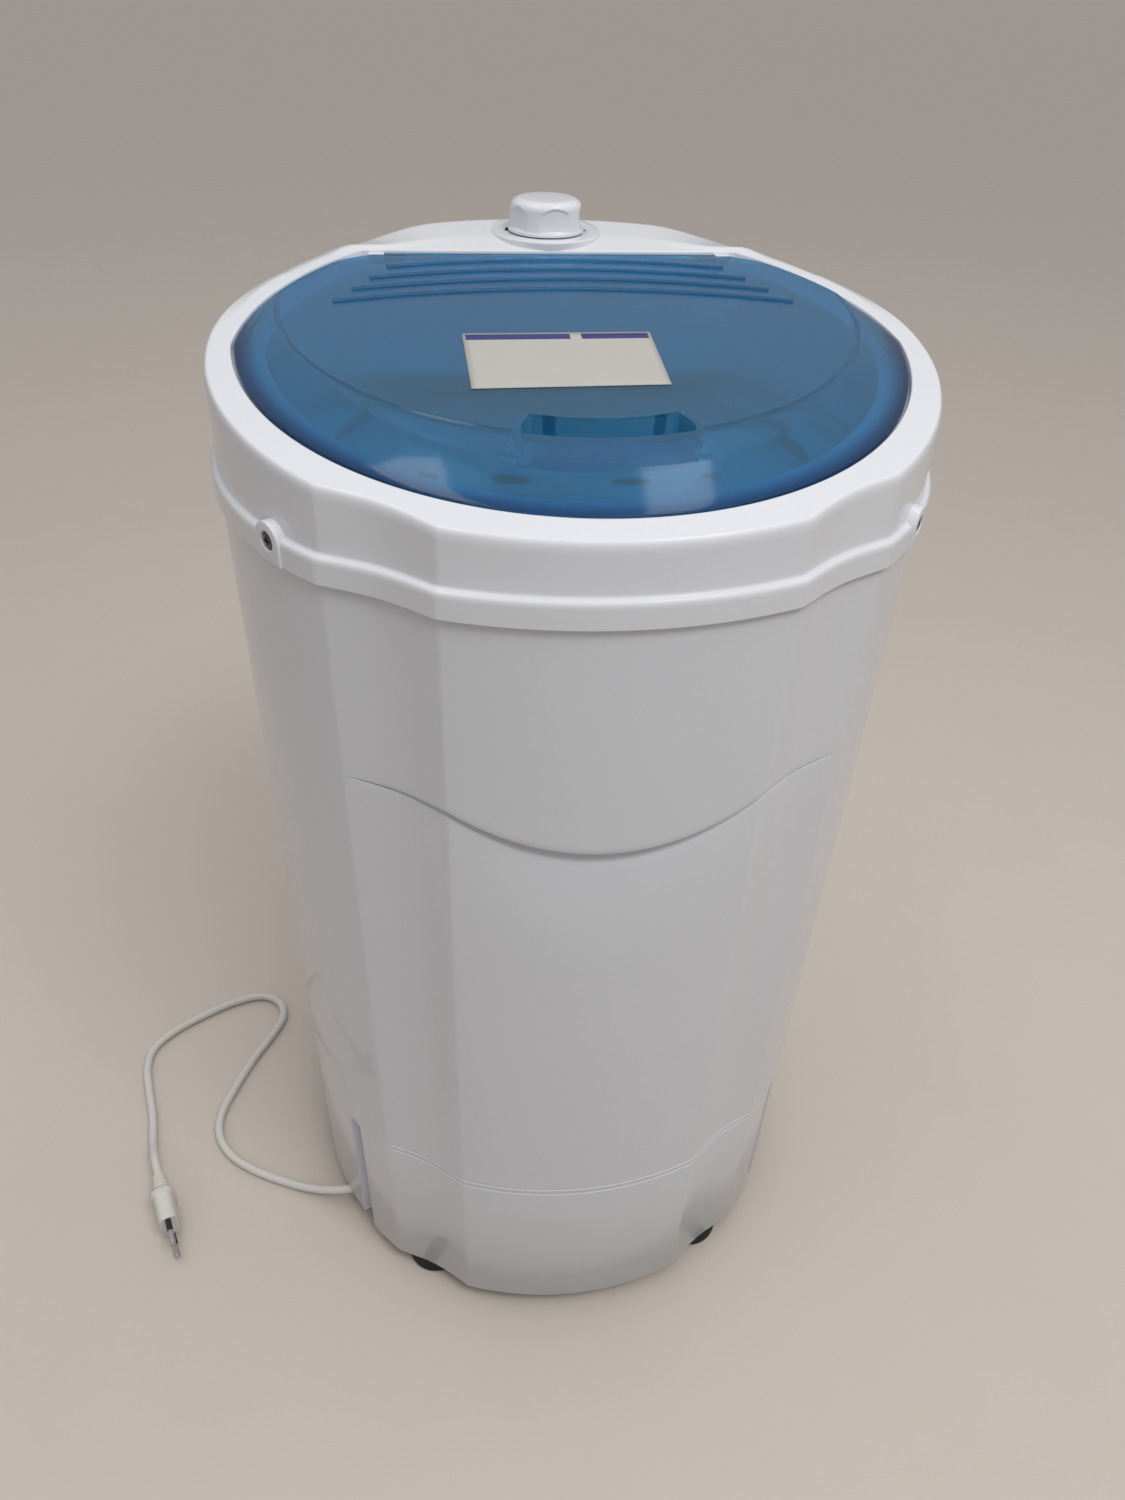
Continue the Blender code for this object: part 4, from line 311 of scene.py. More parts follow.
def fill(tree, node, inputs):
    """Set each input of a node to a value, or link it to a socket."""
    for label, value in inputs.items():
        if isinstance(value, bpy.types.NodeSocket):
            tree.links.new(value, node.inputs[label])
        else:
            node.inputs[label].default_value = value


def wire(tree, kind, inputs, **settings):
    """A new node's outputs, with its settings and inputs filled in."""
    node = tree.nodes.new(kind)
    for label, value in settings.items():
        setattr(node, label, value)
    fill(tree, node, inputs)
    return node.outputs


def calculate(tree, operation, *values):
    return wire(tree, "ShaderNodeMath", dict(enumerate(values)), operation=operation)["Value"]


def mix_colour(tree, share, one, two):
    colours = {"Factor": share, "A": one, "B": two}
    return wire(tree, "ShaderNodeMix", colours, data_type="RGBA")["Result"]


def noise(tree, place, scale, detail):
    return wire(tree, "ShaderNodeTexNoise", {"Vector": place, "Scale": scale, "Detail": detail})["Fac"]


def ranged(tree, value, low, high):
    """Spread a noise value over the range that a surface shows."""
    ends = {"From Min": 0.2, "From Max": 0.8, "To Min": low, "To Max": high}
    return wire(tree, "ShaderNodeMapRange", {"Value": value, **ends})["Result"]


def new_group(name, kind, inputs, outputs):
    """A node group with sockets of the given kinds, its inner source and its inner sink."""
    tree = bpy.data.node_groups.new(name, kind)
    for way, sockets in (("INPUT", inputs), ("OUTPUT", outputs)):
        for label, socket in sockets.items():
            tree.interface.new_socket(label, in_out=way, socket_type=f"NodeSocket{socket}")
    source = tree.nodes.new("NodeGroupInput").outputs
    sink = tree.nodes.new("NodeGroupOutput")
    return tree, source, sink


# Materials


def surface_group(name, stretch):
    """Tone, gloss and fine relief of a moulded or drawn surface."""
    values = dict.fromkeys(("Mottle", "Roughness", "Uneven", "Grain", "Relief"), "Float")
    results = {"Color": "Color", "Gloss": "Float", "Normal": "Vector"}
    tree, source, sink = new_group(name, "ShaderNodeTree", {"Tint": "Color", **values}, results)
    place = wire(tree, "ShaderNodeTexCoord", {})["Object"]
    spot = wire(tree, "ShaderNodeMapping", {"Vector": place, "Scale": stretch})["Vector"]
    clouds = ranged(tree, noise(tree, spot, 14.0, 4.0), -1.0, 1.0)
    tone = calculate(tree, "MULTIPLY_ADD", clouds, source["Mottle"], 1.0)
    tinted = {0: source["Tint"], "Scale": tone}
    smears = ranged(tree, noise(tree, spot, 38.0, 6.0), -1.0, 1.0)
    grain = noise(tree, spot, source["Grain"], 2.0)
    relief = {"Height": grain, "Strength": source["Relief"], "Distance": 0.0006}
    results = {
        "Color": wire(tree, "ShaderNodeVectorMath", tinted, operation="SCALE")["Vector"],
        "Gloss": calculate(tree, "MULTIPLY_ADD", smears, source["Uneven"], source["Roughness"]),
        "Normal": wire(tree, "ShaderNodeBump", relief)["Normal"],
    }
    fill(tree, sink, results)
    return tree


MOULDED = surface_group("moulded_surface", (1.0, 1.0, 1.0))
DRAWN = surface_group("drawn_metal_surface", (1.0, 1.0, 14.0))
SURFACE = {"Mottle": 0.03, "Uneven": 0.06, "Grain": 300.0, "Relief": 0.02}


def new_material(name):
    material = bpy.data.materials.new(name)
    material.use_nodes = True
    tree = material.node_tree
    return material, tree, tree.nodes["Principled BSDF"]


def finish(name, tint, roughness, shader_values, group=MOULDED, **surface):
    """A material whose colour, gloss and relief come from a surface group."""
    material, tree, shader = new_material(name)
    values = {"Tint": (*tint, 1.0), "Roughness": roughness, **SURFACE, **surface}
    looks = wire(tree, "ShaderNodeGroup", values, node_tree=group)
    links = {"Base Color": looks["Color"], "Roughness": looks["Gloss"], "Normal": looks["Normal"]}
    fill(tree, shader, {**shader_values, **links})
    material.diffuse_color = (*tint, 1.0)
    return material


def blend_tint(material, share, colour):
    """Blend a material's tint towards another colour by a share from its own nodes."""
    tree = material.node_tree
    tint = tree.nodes["Principled BSDF"].inputs["Base Color"]
    blended = mix_colour(tree, share, tint.links[0].from_socket, (*colour, 1.0))
    tree.links.new(blended, tint)


def deepen_rim(material, deep):
    """Darken the lid's tint towards its thick outer edge."""
    tree = material.node_tree
    place = wire(tree, "ShaderNodeTexCoord", {})["Object"]
    flat = {0: place, 1: (1.0, 1.0, 0.0)}
    spot = wire(tree, "ShaderNodeVectorMath", flat, operation="MULTIPLY")["Vector"]
    ends = {0: spot, 1: (0.0, LID_CENTRE, 0.0)}
    reach = wire(tree, "ShaderNodeVectorMath", ends, operation="DISTANCE")["Value"]
    start, end = LID_RIM_TINT
    rim = {"Value": reach, "From Min": start, "From Max": end}
    share = wire(tree, "ShaderNodeMapRange", rim, interpolation_type="SMOOTHSTEP")["Result"]
    blend_tint(material, share, deep)


GLOSS = {"Coat Weight": 0.5, "Coat Roughness": 0.05, "IOR": 1.5}
SATIN = {"IOR": 1.48}
METAL = {"Metallic": 1.0}
CLEAR = {"Transmission Weight": 0.88, "IOR": 1.46}
# Less clear transmission, used only to paint light into the finger pocket's shade
MILKY_PAINTED_LIGHT = {"Transmission Weight": 0.7, "IOR": 1.46}
SMOOTH = {"Mottle": 0.008, "Uneven": 0.012, "Relief": 0.004}
SHEER = {"Mottle": 0.02, "Uneven": 0.01, "Relief": 0.004}

WHITE = finish("gloss_white_cover", (0.81, 0.825, 0.86), 0.22, GLOSS, **SMOOTH)
CASING_WHITE = finish("gloss_white_casing", (0.76, 0.775, 0.81), 0.24, GLOSS, **SMOOTH)
INNER_WHITE = finish("satin_white_inside", (0.78, 0.79, 0.80), 0.42, SATIN, Grain=420.0)
BLUE = finish("clear_blue_lid", (0.12, 0.47, 0.75), 0.08, CLEAR, **SHEER)
deepen_rim(BLUE, (0.015, 0.15, 0.35))
# Lighter, milkier copy of the lid's own blue for the finger pocket: painted light over the pocket's shade,
# not a different plastic
POCKET_PAINTED_LIGHT_BLUE = finish("clear_blue_pocket", (0.16, 0.53, 0.80), 0.1, MILKY_PAINTED_LIGHT, **SHEER)
RUBBER = finish("black_rubber", (0.012, 0.012, 0.013), 0.72, SATIN, Mottle=0.2, Relief=0.25)
DARK_STEEL = finish("blackened_steel", (0.14, 0.135, 0.13), 0.38, METAL, Mottle=0.15, Relief=0.08)
STEEL = finish("bright_steel", (0.60, 0.60, 0.61), 0.28, METAL, DRAWN, Mottle=0.06, Relief=0.05)
GREY = finish("grey_plastic_parts", (0.42, 0.43, 0.45), 0.5, SATIN, Mottle=0.05, Relief=0.08)
COPPER = finish("wound_copper", (0.60, 0.28, 0.12), 0.35, METAL, DRAWN, Mottle=0.12, Relief=0.2)
BRONZE = finish("sintered_bronze", (0.48, 0.33, 0.14), 0.45, METAL, Mottle=0.1, Relief=0.12)
BLACK = finish("black_plastic_parts", (0.022, 0.022, 0.025), 0.45, SATIN, Mottle=0.1, Relief=0.06)
CORD_WHITE = finish("cord_white_vinyl", (0.74, 0.71, 0.66), 0.38, SATIN, Mottle=0.03, Relief=0.05)
SLOT_FINISHES = {
    "white_plastic": INNER_WHITE,
    "blue_plastic": BLUE,
    "rubber": RUBBER,
    "dark_steel": DARK_STEEL,
    "steel": STEEL,
    "grey_plastic": GREY,
    "copper": COPPER,
    "bronze": BRONZE,
    "black_plastic": BLACK,
    "cord_white": CORD_WHITE,
}


def label_material():
    """Blank paper label with two coloured header bars, laid out on its own UV map."""
    material, tree, shader = new_material("paper_label")
    sheet = wire(tree, "ShaderNodeUVMap", {}, uv_map="sheet")["UV"]
    split = wire(tree, "ShaderNodeSeparateXYZ", {"Vector": sheet})

    def between(axis, low, high):
        over = calculate(tree, "GREATER_THAN", split[axis], low)
        under = calculate(tree, "LESS_THAN", split[axis], high)
        return calculate(tree, "MULTIPLY", over, under)

    both = calculate(tree, "ADD", between("X", 0.015, 0.565), between("X", 0.625, 0.985))
    bars = calculate(tree, "MULTIPLY", between("Y", 0.87, 0.975), both)
    clouds = noise(tree, sheet, 5.0, 4.0)
    paper = mix_colour(tree, clouds, (0.50, 0.485, 0.44, 1.0), (0.56, 0.545, 0.50, 1.0))
    looks = {
        "IOR": 1.48,
        "Base Color": mix_colour(tree, bars, paper, (0.035, 0.035, 0.20, 1.0)),
        "Roughness": ranged(tree, clouds, 0.30, 0.42),
    }
    fill(tree, shader, looks)
    return material


LABEL = label_material()


# Mesh helpers


def ease(share):
    share = min(1.0, max(0.0, share))
    return share * share * (3 - 2 * share)


def spread(start, end, count):
    return [start + (end - start) * i / count for i in range(count)]


def polar(radius, turn):
    return radius * cos(turn), radius * sin(turn)


def posed(place, turn=(0, 0, 0)):
    """A matrix that turns a shape about the origin and then moves it to a place."""
    return Matrix.Translation(place) @ Euler(turn).to_matrix().to_4x4()


def put(name, data):
    obj = bpy.data.objects.new(name, data)
    bpy.context.scene.collection.objects.link(obj)
    return obj


def piece_from(name, bm, material, sharp=35):
    """Turn a bmesh into an object with outward faces, smooth apart from its sharp edges."""
    bmesh.ops.remove_doubles(bm, verts=bm.verts, dist=1e-6)
    bmesh.ops.dissolve_degenerate(bm, edges=bm.edges, dist=1e-7)
    bmesh.ops.recalc_face_normals(bm, faces=bm.faces)
    mesh = bpy.data.meshes.new(name)
    bm.to_mesh(mesh)
    bm.free()
    if material:
        mesh.materials.append(material)
    obj = put(name, mesh)
    shade(obj, sharp)
    return obj


def shade(obj, sharp=35):
    obj.data.shade_smooth()
    obj.data.set_sharp_from_angle(angle=radians(sharp))


def settle(obj):
    """Make the result of an object's modifiers its own plain mesh."""
    bpy.context.view_layer.update()
    graph = bpy.context.evaluated_depsgraph_get()
    mesh = bpy.data.meshes.new_from_object(obj.evaluated_get(graph))
    old = obj.data
    obj.modifiers.clear()
    obj.data = mesh
    bpy.data.meshes.remove(old)
    mesh.name = obj.name


def carve(obj, operation, *helpers):
    """Cut helpers out of a piece, or melt them into it."""
    for helper in helpers:
        modifier = obj.modifiers.new("carve", "BOOLEAN")
        modifier.operation = operation
        modifier.solver = "EXACT"
        modifier.object = helper
    settle(obj)
    for helper in helpers:
        bpy.data.objects.remove(helper, do_unlink=True)
    shade(obj)


def weigh_normals(obj):
    """Even out shading on the large faces that cutting leaves."""
    modifier = obj.modifiers.new("weigh", "WEIGHTED_NORMAL")
    modifier.keep_sharp = True
    settle(obj)


def strip_faces(bm, rows, closed):
    """Quads between neighbouring rows of points, each row closed on itself or open."""
    for one, two in rows:
        count = len(one) if closed else len(one) - 1
        for i in range(count):
            j = (i + 1) % len(one)
            bm.faces.new((one[i], one[j], two[j], two[i]))


def ring_of_sections(name, sections, material):
    """A closed ring swept through closed sections."""
    bm = bmesh.new()
    rows = [[bm.verts.new(point) for point in section] for section in sections]
    strip_faces(bm, zip(rows, rows[1:] + rows[:1]), True)
    return piece_from(name, bm, material)


def stack_of_loops(name, loops, material=None, sharp=35):
    """A solid from stacked closed loops, capped at both ends."""
    bm = bmesh.new()
    rows = [[bm.verts.new(point) for point in loop] for loop in loops]
    strip_faces(bm, zip(rows, rows[1:]), True)
    bm.faces.new(rows[0])
    bm.faces.new(rows[-1])
    return piece_from(name, bm, material, sharp)


def lathe(name, profile, sides, material=None, place=None):
    """A turned solid about the Z axis. Its section is closed, or starts and ends on the axis."""
    bm = bmesh.new()
    turns = spread(0, tau, sides)
    rings = []
    for radius, height in profile:
        if radius < ON_AXIS:
            rings.append([bm.verts.new((0, 0, height))])
            continue
        rings.append([bm.verts.new((*polar(radius, turn), height)) for turn in turns])
    pairs = list(zip(rings, rings[1:]))
    if profile[0][0] > ON_AXIS:
        pairs.append((rings[-1], rings[0]))
    for low, high in pairs:
        for i in range(sides):
            j = (i + 1) % sides
            corners = [low[i % len(low)], low[j % len(low)], high[j % len(high)], high[i % len(high)]]
            corners = list(dict.fromkeys(corners))
            if len(corners) > 2:
                bm.faces.new(corners)
    if place:
        bmesh.ops.transform(bm, matrix=place, verts=bm.verts)
    return piece_from(name, bm, material)


def rod(name, radius, low, high, sides, material=None, place=None):
    """A plain round bar, also used to bore holes."""
    profile = [(0, low), (radius, low), (radius, high), (0, high)]
    return lathe(name, profile, sides, material, place)


def soften(corners, closed=False):
    """Round the corners (x, y, radius, steps) of a section. A corner (x, y) stays sharp."""
    points = []
    count = len(corners)
    for k, corner in enumerate(corners):
        here = Vector(corner[:2])
        if len(corner) == 2 or (not closed and k in (0, count - 1)):
            points.append(corner[:2])
            continue
        radius, steps = corner[2:]
        before = Vector(corners[k - 1][:2])
        after = Vector(corners[(k + 1) % count][:2])
        start = here + (before - here) * min(0.48, radius / max((before - here).length, 1e-9))
        end = here + (after - here) * min(0.48, radius / max((after - here).length, 1e-9))
        for i in range(steps + 1):
            t = i / steps
            point = start * (1 - t) ** 2 + here * (2 * t * (1 - t)) + end * t * t
            points.append((point.x, point.y))
    return points


def realise(tree, shape, source, sink):
    """End a tree of geometry nodes with plain geometry in one finish."""
    plain = wire(tree, "GeometryNodeRealizeInstances", {"Geometry": shape})["Geometry"]
    dressed = {"Geometry": plain, "Material": source["Finish"]}
    fill(tree, sink, {0: wire(tree, "GeometryNodeSetMaterial", dressed)["Geometry"]})
    return tree


def repeat_tree():
    """Geometry nodes that set copies of a part on points, each turned by its point's facing."""
    kinds = {"Places": "Geometry", "Part": "Object", "Finish": "Material"}
    tree, source, sink = new_group("repeat_part", "GeometryNodeTree", kinds, {"Copies": "Geometry"})
    part = wire(tree, "GeometryNodeObjectInfo", {"Object": source["Part"]}, transform_space="ORIGINAL")
    facing = wire(tree, "GeometryNodeInputNamedAttribute", {"Name": "facing"}, data_type="FLOAT_VECTOR")
    turn = wire(tree, "FunctionNodeEulerToRotation", {"Euler": facing["Attribute"]})["Rotation"]
    copies = {"Points": source["Places"], "Instance": part["Geometry"], "Rotation": turn}
    placed = wire(tree, "GeometryNodeInstanceOnPoints", copies)["Instances"]
    return realise(tree, placed, source, sink)


REPEAT = repeat_tree()


def grow(name, mesh, tree, values):
    """A piece whose plain mesh comes from a tree of geometry nodes."""
    obj = put(name, mesh)
    modifier = obj.modifiers.new("grow", "NODES")
    modifier.node_group = tree
    for item in tree.interface.items_tree:
        if item.in_out == "INPUT" and item.name in values:
            modifier[item.identifier] = values[item.name]
    settle(obj)
    shade(obj)
    return obj


def repeated(name, part, places, material=None):
    """Copies of a part at places of (position, turn), as one plain mesh."""
    mesh = bpy.data.meshes.new(name)
    mesh.from_pydata([place for place, _ in places], [], [])
    facing = mesh.attributes.new("facing", "FLOAT_VECTOR", "POINT")
    for i, (_, turn) in enumerate(places):
        facing.data[i].vector = turn
    obj = grow(name, mesh, REPEAT, {"Part": part, "Finish": material})
    bpy.data.objects.remove(part, do_unlink=True)
    return obj


def dress(obj, body, slot, *replaced):
    """Let a finished piece ride on a body and stand for solids of the part."""
    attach(obj, body)
    if replaced:
        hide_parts(*replaced)
    return obj


# The body's outline


def plan_inset(angle):
    """How far the outline lies inside its full radius, at an angle from the front."""
    turn = pi - abs(pi - abs(angle))
    if turn < NOSE_ANGLE:
        return NOSE_INSET - (NOSE_INSET - NOSE_CORNER_INSET) * (turn / NOSE_ANGLE) ** 2
    if turn < SCOOP_ANGLE:
        share = (turn - NOSE_ANGLE) / (SCOOP_ANGLE - NOSE_ANGLE)
        return NOSE_CORNER_INSET * (1 - share) + SCOOP_DEPTH * sin(pi * share)
    if turn > pi - REAR_FLAT_ANGLE:
        return NOSE_INSET * ease((turn - pi + REAR_FLAT_ANGLE) / REAR_FLAT_ANGLE)
    return 0.0


def outline_radius(angle):
    """Distance from the axis to the outline, with its upright edges a little softened."""
    steps = [2 * i / (EDGE_SAMPLES - 1) - 1 for i in range(EDGE_SAMPLES)]
    return BODY_RADIUS - sum(plan_inset(angle + EDGE_SOFTNESS * step) for step in steps) / EDGE_SAMPLES


def at(angle, radius, height):
    return (radius * sin(angle), -radius * cos(angle), height)


def four_places(angle, radius, height):
    """Mirrored places in the order of CORNERS, each with the turn that faces it outwards."""
    turns = (-angle, angle, angle - pi, pi - angle)
    return [(at(turn, radius, height), (0.0, 0.0, turn)) for turn in turns]


def outline_angles(extra):
    """Angles round the body, close together at its upright edges, with the extra ones among them."""
    soft = EDGE_REACH * EDGE_SOFTNESS
    spans = (
        (0, 18),
        (NOSE_ANGLE - soft, 6),
        (NOSE_ANGLE + soft, 18),
        (SCOOP_ANGLE - soft, 6),
        (SCOOP_ANGLE + soft, 62),
        (pi - REAR_FLAT_ANGLE, 16),
        (pi, 0),
    )
    half = list(extra)
    for (start, count), (end, _) in zip(spans, spans[1:]):
        half += spread(start, end, count)
    half.sort()
    kept = [half[0]]
    for angle in half[1:]:
        if angle in extra and angle - kept[-1] < LEAST_TURN and kept[-1] not in extra:
            kept[-1] = angle
        elif angle - kept[-1] > LEAST_TURN or angle in extra:
            kept.append(angle)
    return [-angle for angle in reversed(kept[1:])] + kept + [pi]


# Casing


def slot_edges():
    """The angles of the slots' walls on the right side, front then rear."""
    half_width = SLOT_WIDTH / 2 / BODY_RADIUS
    lean = SLOT_LEAN * half_width
    front = [SLOT_ANGLE - half_width, SLOT_ANGLE - half_width + lean]
    front += [SLOT_ANGLE + half_width - lean, SLOT_ANGLE + half_width]
    return front + [pi - angle for angle in reversed(front)]


def in_slot(angle):
    edges = slot_edges()
    spans = ((edges[1], edges[2]), (edges[5], edges[6]))
    return any(start - NEAR < abs(angle) < end + NEAR for start, end in spans)


def casing_outer(angle, height):
    draft = CASING_DRAFT * (CASING_TOP - height) / CASING_TOP
    return outline_radius(angle) - BAND_WALL - GAP - draft


def smile_line(angle):
    """Height of the front panel's curved upper edge, its step back, and the gape and depth there."""
    share = min(1.0, abs(angle) / NOSE_ANGLE)
    height = LEDGE_HEIGHT - SMILE_DROP + SMILE_LIFT * share**2
    reach = min(1.0, abs(angle) / SMILE_SPAN)
    fade = cos(pi / 2 * reach) ** 2
    end = max(LEAST_END, ease((SCOOP_ANGLE - abs(angle)) / SMILE_END))
    gape = LEAST_GAPE + (1 - LEAST_GAPE) * fade
    depth = LEAST_HOLLOW + (1 - LEAST_HOLLOW) * fade
    return height, fade, gape * end, depth * end


def casing_section(angle):
    """Points of the casing's wall at one angle, up its outside and down its inside."""
    edges = slot_edges()
    on_side = edges[2] - NEAR < abs(angle) < edges[5] + NEAR
    low = SIDE_CLEARANCE if on_side else CASING_CLEARANCE
    line, fade, gape, depth = smile_line(angle)
    step = SMILE_CUT * fade
    hollow = step + (SMILE_HOLLOW - SMILE_CUT) * depth
    sill = line - SMILE_MOUTH * gape
    foot = sill - SMILE_REACH
    cut = SLOT_DEPTH if in_slot(angle) else 0.0
    groove = GROOVE_DEPTH * ease((GROOVE_ANGLE - abs(angle)) / GROOVE_FADE)
    points = []

    def outside(height, inset=0.0):
        points.append((casing_outer(angle, height) - inset, height))

    for rise, inset in CASING_HEM:
        outside(low + rise, inset + cut)
    outside(SLOT_TOP - SLOT_EDGE, cut)
    outside(SLOT_TOP, cut)
    outside(SLOT_TOP + (SLOT_RAMP if cut else 2 * SLOT_EDGE))
    outside(GROOVE_HEIGHTS[0] - 2 * GROOVE_HALF_WIDTH)
    for middle in GROOVE_HEIGHTS:
        for offset, share in GROOVE_PROFILE:
            outside(middle + offset * GROOVE_HALF_WIDTH, groove * share)
    outside(GROOVE_HEIGHTS[1] + 2 * GROOVE_HALF_WIDTH)
    outside((GROOVE_HEIGHTS[1] + sill - SMILE_REACH) / 2)
    for share in SMILE_SLOPE:
        outside(sill - SMILE_REACH * share, step * (1 - share) ** 2)
    for inward, rise in SMILE_UNDERCUT:
        outside(sill + rise * (line - sill), step + inward * (hollow - step))
    for rise, share in SMILE_BROW:
        outside(line + rise, share * hollow)
    outside((line + CASING_TOP) / 2)
    outside(CASING_TOP)
    inset = WALL + SMILE_STEP * fade + cut
    points += [
        (casing_outer(angle, CASING_TOP) - WALL, CASING_TOP),
        (casing_outer(angle, CASING_TOP) - WALL, line + SMILE_REACH / 2),
        (casing_outer(angle, line) - WALL - hollow, line),
        (casing_outer(angle, sill) - WALL - hollow, sill),
        (casing_outer(angle, foot) - inset, foot),
        (casing_outer(angle, SLOT_TOP) - inset, SLOT_TOP + 10 * SLOT_EDGE),
        (casing_outer(angle, low) - inset, low),
    ]
    return [at(angle, radius, height) for radius, height in points]


def panel_block(name, margin, low, high, inner, outer, material=None):
    """A block through the casing's rear wall, as wide as the drain plate."""
    half = asin((PANEL_HALF_WIDTH + margin) / BODY_RADIUS)
    steps = 8
    turns = [pi - half + 2 * half * i / steps for i in range(steps + 1)]
    loops = []
    for height in (low, high):
        near = [at(turn, inner(turn, height), height) for turn in turns]
        far = [at(turn, outer(turn, height), height) for turn in turns]
        loops.append(near + far[::-1])
    return stack_of_loops(name, loops, material)


def make_casing():
    sections = [casing_section(angle) for angle in outline_angles(slot_edges())]
    casing = ring_of_sections("casing_shell", sections, CASING_WHITE)
    top = SPOUT_HEIGHT + PANEL_MARGIN
    outside = BODY_RADIUS + 4 * WALL
    notch = panel_block("notch", GAP, 0.0, top + GAP, lambda *_: PANEL_INNER_RADIUS, lambda *_: outside)
    carve(casing, "DIFFERENCE", notch)
    dress(casing, "body", "white_plastic", "casing")

    def inner_face(turn, height):
        return casing_outer(turn, height) - WALL

    size = (0.0, CASING_CLEARANCE, top)
    plate = panel_block("drain_plate", *size, inner_face, casing_outer, CASING_WHITE)
    aim = posed((0, SPOUT_START, SPOUT_HEIGHT), (-pi / 2, 0, 0))
    carve(plate, "DIFFERENCE", rod("hole", SPOUT_RADIUS + GAP, 0, SPOUT_LENGTH, 40, None, aim))
    dress(plate, "body", "white_plastic", "drain_panel")


# Top cover


def top_height(y):
    return LEDGE_HEIGHT + TOP_RISE + TOP_SLOPE * y


def circle_reach(angle, centre, radius):
    """Distance from the axis to a circle on the sloping top, in one direction."""
    across, along = sin(angle), -cos(angle)
    a = across**2 + (along / SQUASH) ** 2
    b = -2 * along * centre / SQUASH**2
    c = (centre / SQUASH) ** 2 - radius**2
    return (-b + sqrt(b * b - 4 * a * c)) / (2 * a)


def d_outline(angle, radius, chord):
    """Distance from the axis to an opening where two equal circles overlap, cut straight at the rear."""
    reach = min(circle_reach(angle, centre, radius) for centre in (LID_CENTRE, LID_REAR_CENTRE))
    along = -cos(angle)
    if along > 0:
        reach = min(reach, chord / along)
    return reach


def corner_angle(radius, chord):
    x = sqrt(radius**2 - ((chord - LID_REAR_CENTRE) / SQUASH) ** 2)
    return pi / 2 + atan2(chord, x)


def deck_edge(angle):
    """Distance from the axis to the low wall in front of the raised rear deck."""
    along = -cos(angle)
    b = -2 * along * DECK_ARC_CENTRE
    c = DECK_ARC_CENTRE**2 - DECK_ARC_RADIUS**2
    return (-b + sqrt(b * b - 4 * c)) / 2


def shoulder_drop(angle):
    """How far the cover's edge falls below its sloping top, beside the rear deck."""
    start = ease((abs(angle) - SHOULDER_START) / SHOULDER_SPAN)
    return SHOULDER_DROP * start * (1 - ease((abs(angle) - SHOULDER_END) / SHOULDER_FADE))


def cover_section(angle):
    """Points of the cover's wall at one angle, from the band over the top into the opening and back."""
    band = outline_radius(angle)
    tier = band - TIER_INSET
    recess = d_outline(angle, *RECESS)
    throat = d_outline(angle, *THROAT)
    at_chord = recess * -cos(angle) > RECESS[1] - NEAR
    drop = 2 * HINGE_RADIUS + 3 * GAP if at_chord else LID_RIM + GAP
    widening = ease((abs(angle) - FILLET_START) / FILLET_SPAN)
    fillet = FRONT_FILLET + (TOP_FILLET - FRONT_FILLET) * widening
    fillet = min(fillet, tier - recess - 3 * COVER_LIP)
    flat_start = tier - fillet
    wall_foot = min(max(deck_edge(angle), recess + COVER_LIP), flat_start - COVER_LIP)
    wall_head = wall_foot + min(DECK_WALL_RUN, 0.8 * (flat_start - wall_foot))
    raise_by = DECK_RAISE * ease((abs(angle) - DECK_FADE_START) / DECK_FADE_SPAN)

    def sloped(radius, offset, *rounding):
        return (radius, top_height(-radius * cos(angle)) + offset, *rounding)

    def deck(radius, offset, *rounding):
        y = -radius * cos(angle)
        level = min(top_height(y) + max(offset, 0.0), DECK_LEVEL + DECK_TILT * (y - KNOB_Y))
        return (radius, level + min(offset, 0.0), *rounding)

    corners = [
        (band, LEDGE_HEIGHT - BAND_HEIGHT, 0.0005, 2),
        (band, LEDGE_HEIGHT, BAND_ROUND, 6),
        (tier, LEDGE_HEIGHT + 0.0006, 0.0014, 4),
        deck(tier, -shoulder_drop(angle), 1.15 * fillet, 12),
        deck(wall_head, raise_by, 0.0028, 5),
        sloped(wall_foot, 0.0, 0.0016, 3),
        sloped(recess, 0.0, 0.0011, 4),
        sloped(recess, -drop, 0.0003, 1),
        sloped(throat, -drop, 0.0008, 3),
        (throat, THROAT_FOOT, 0.0006, 2),
        (throat + WALL, THROAT_FOOT, 0.0006, 2),
        sloped(throat + WALL, -drop - WALL),
        sloped(recess + WALL, -drop - WALL),
        sloped(max(tier - WALL - fillet / 2, recess + WALL + GAP), -WALL - fillet / 2),
        sloped(tier - WALL, -WALL - fillet),
        (tier - WALL, SHOULDER),
        (band - BAND_WALL, SHOULDER),
        (band - BAND_WALL, LEDGE_HEIGHT - BAND_HEIGHT),
    ]
    return [at(angle, radius, height) for radius, height in soften(corners, closed=True)]


# Turns a shape made along Z to point at the viewer, along -Y
OUTWARD = posed((0, 0, 0), (pi / 2, 0, 0))


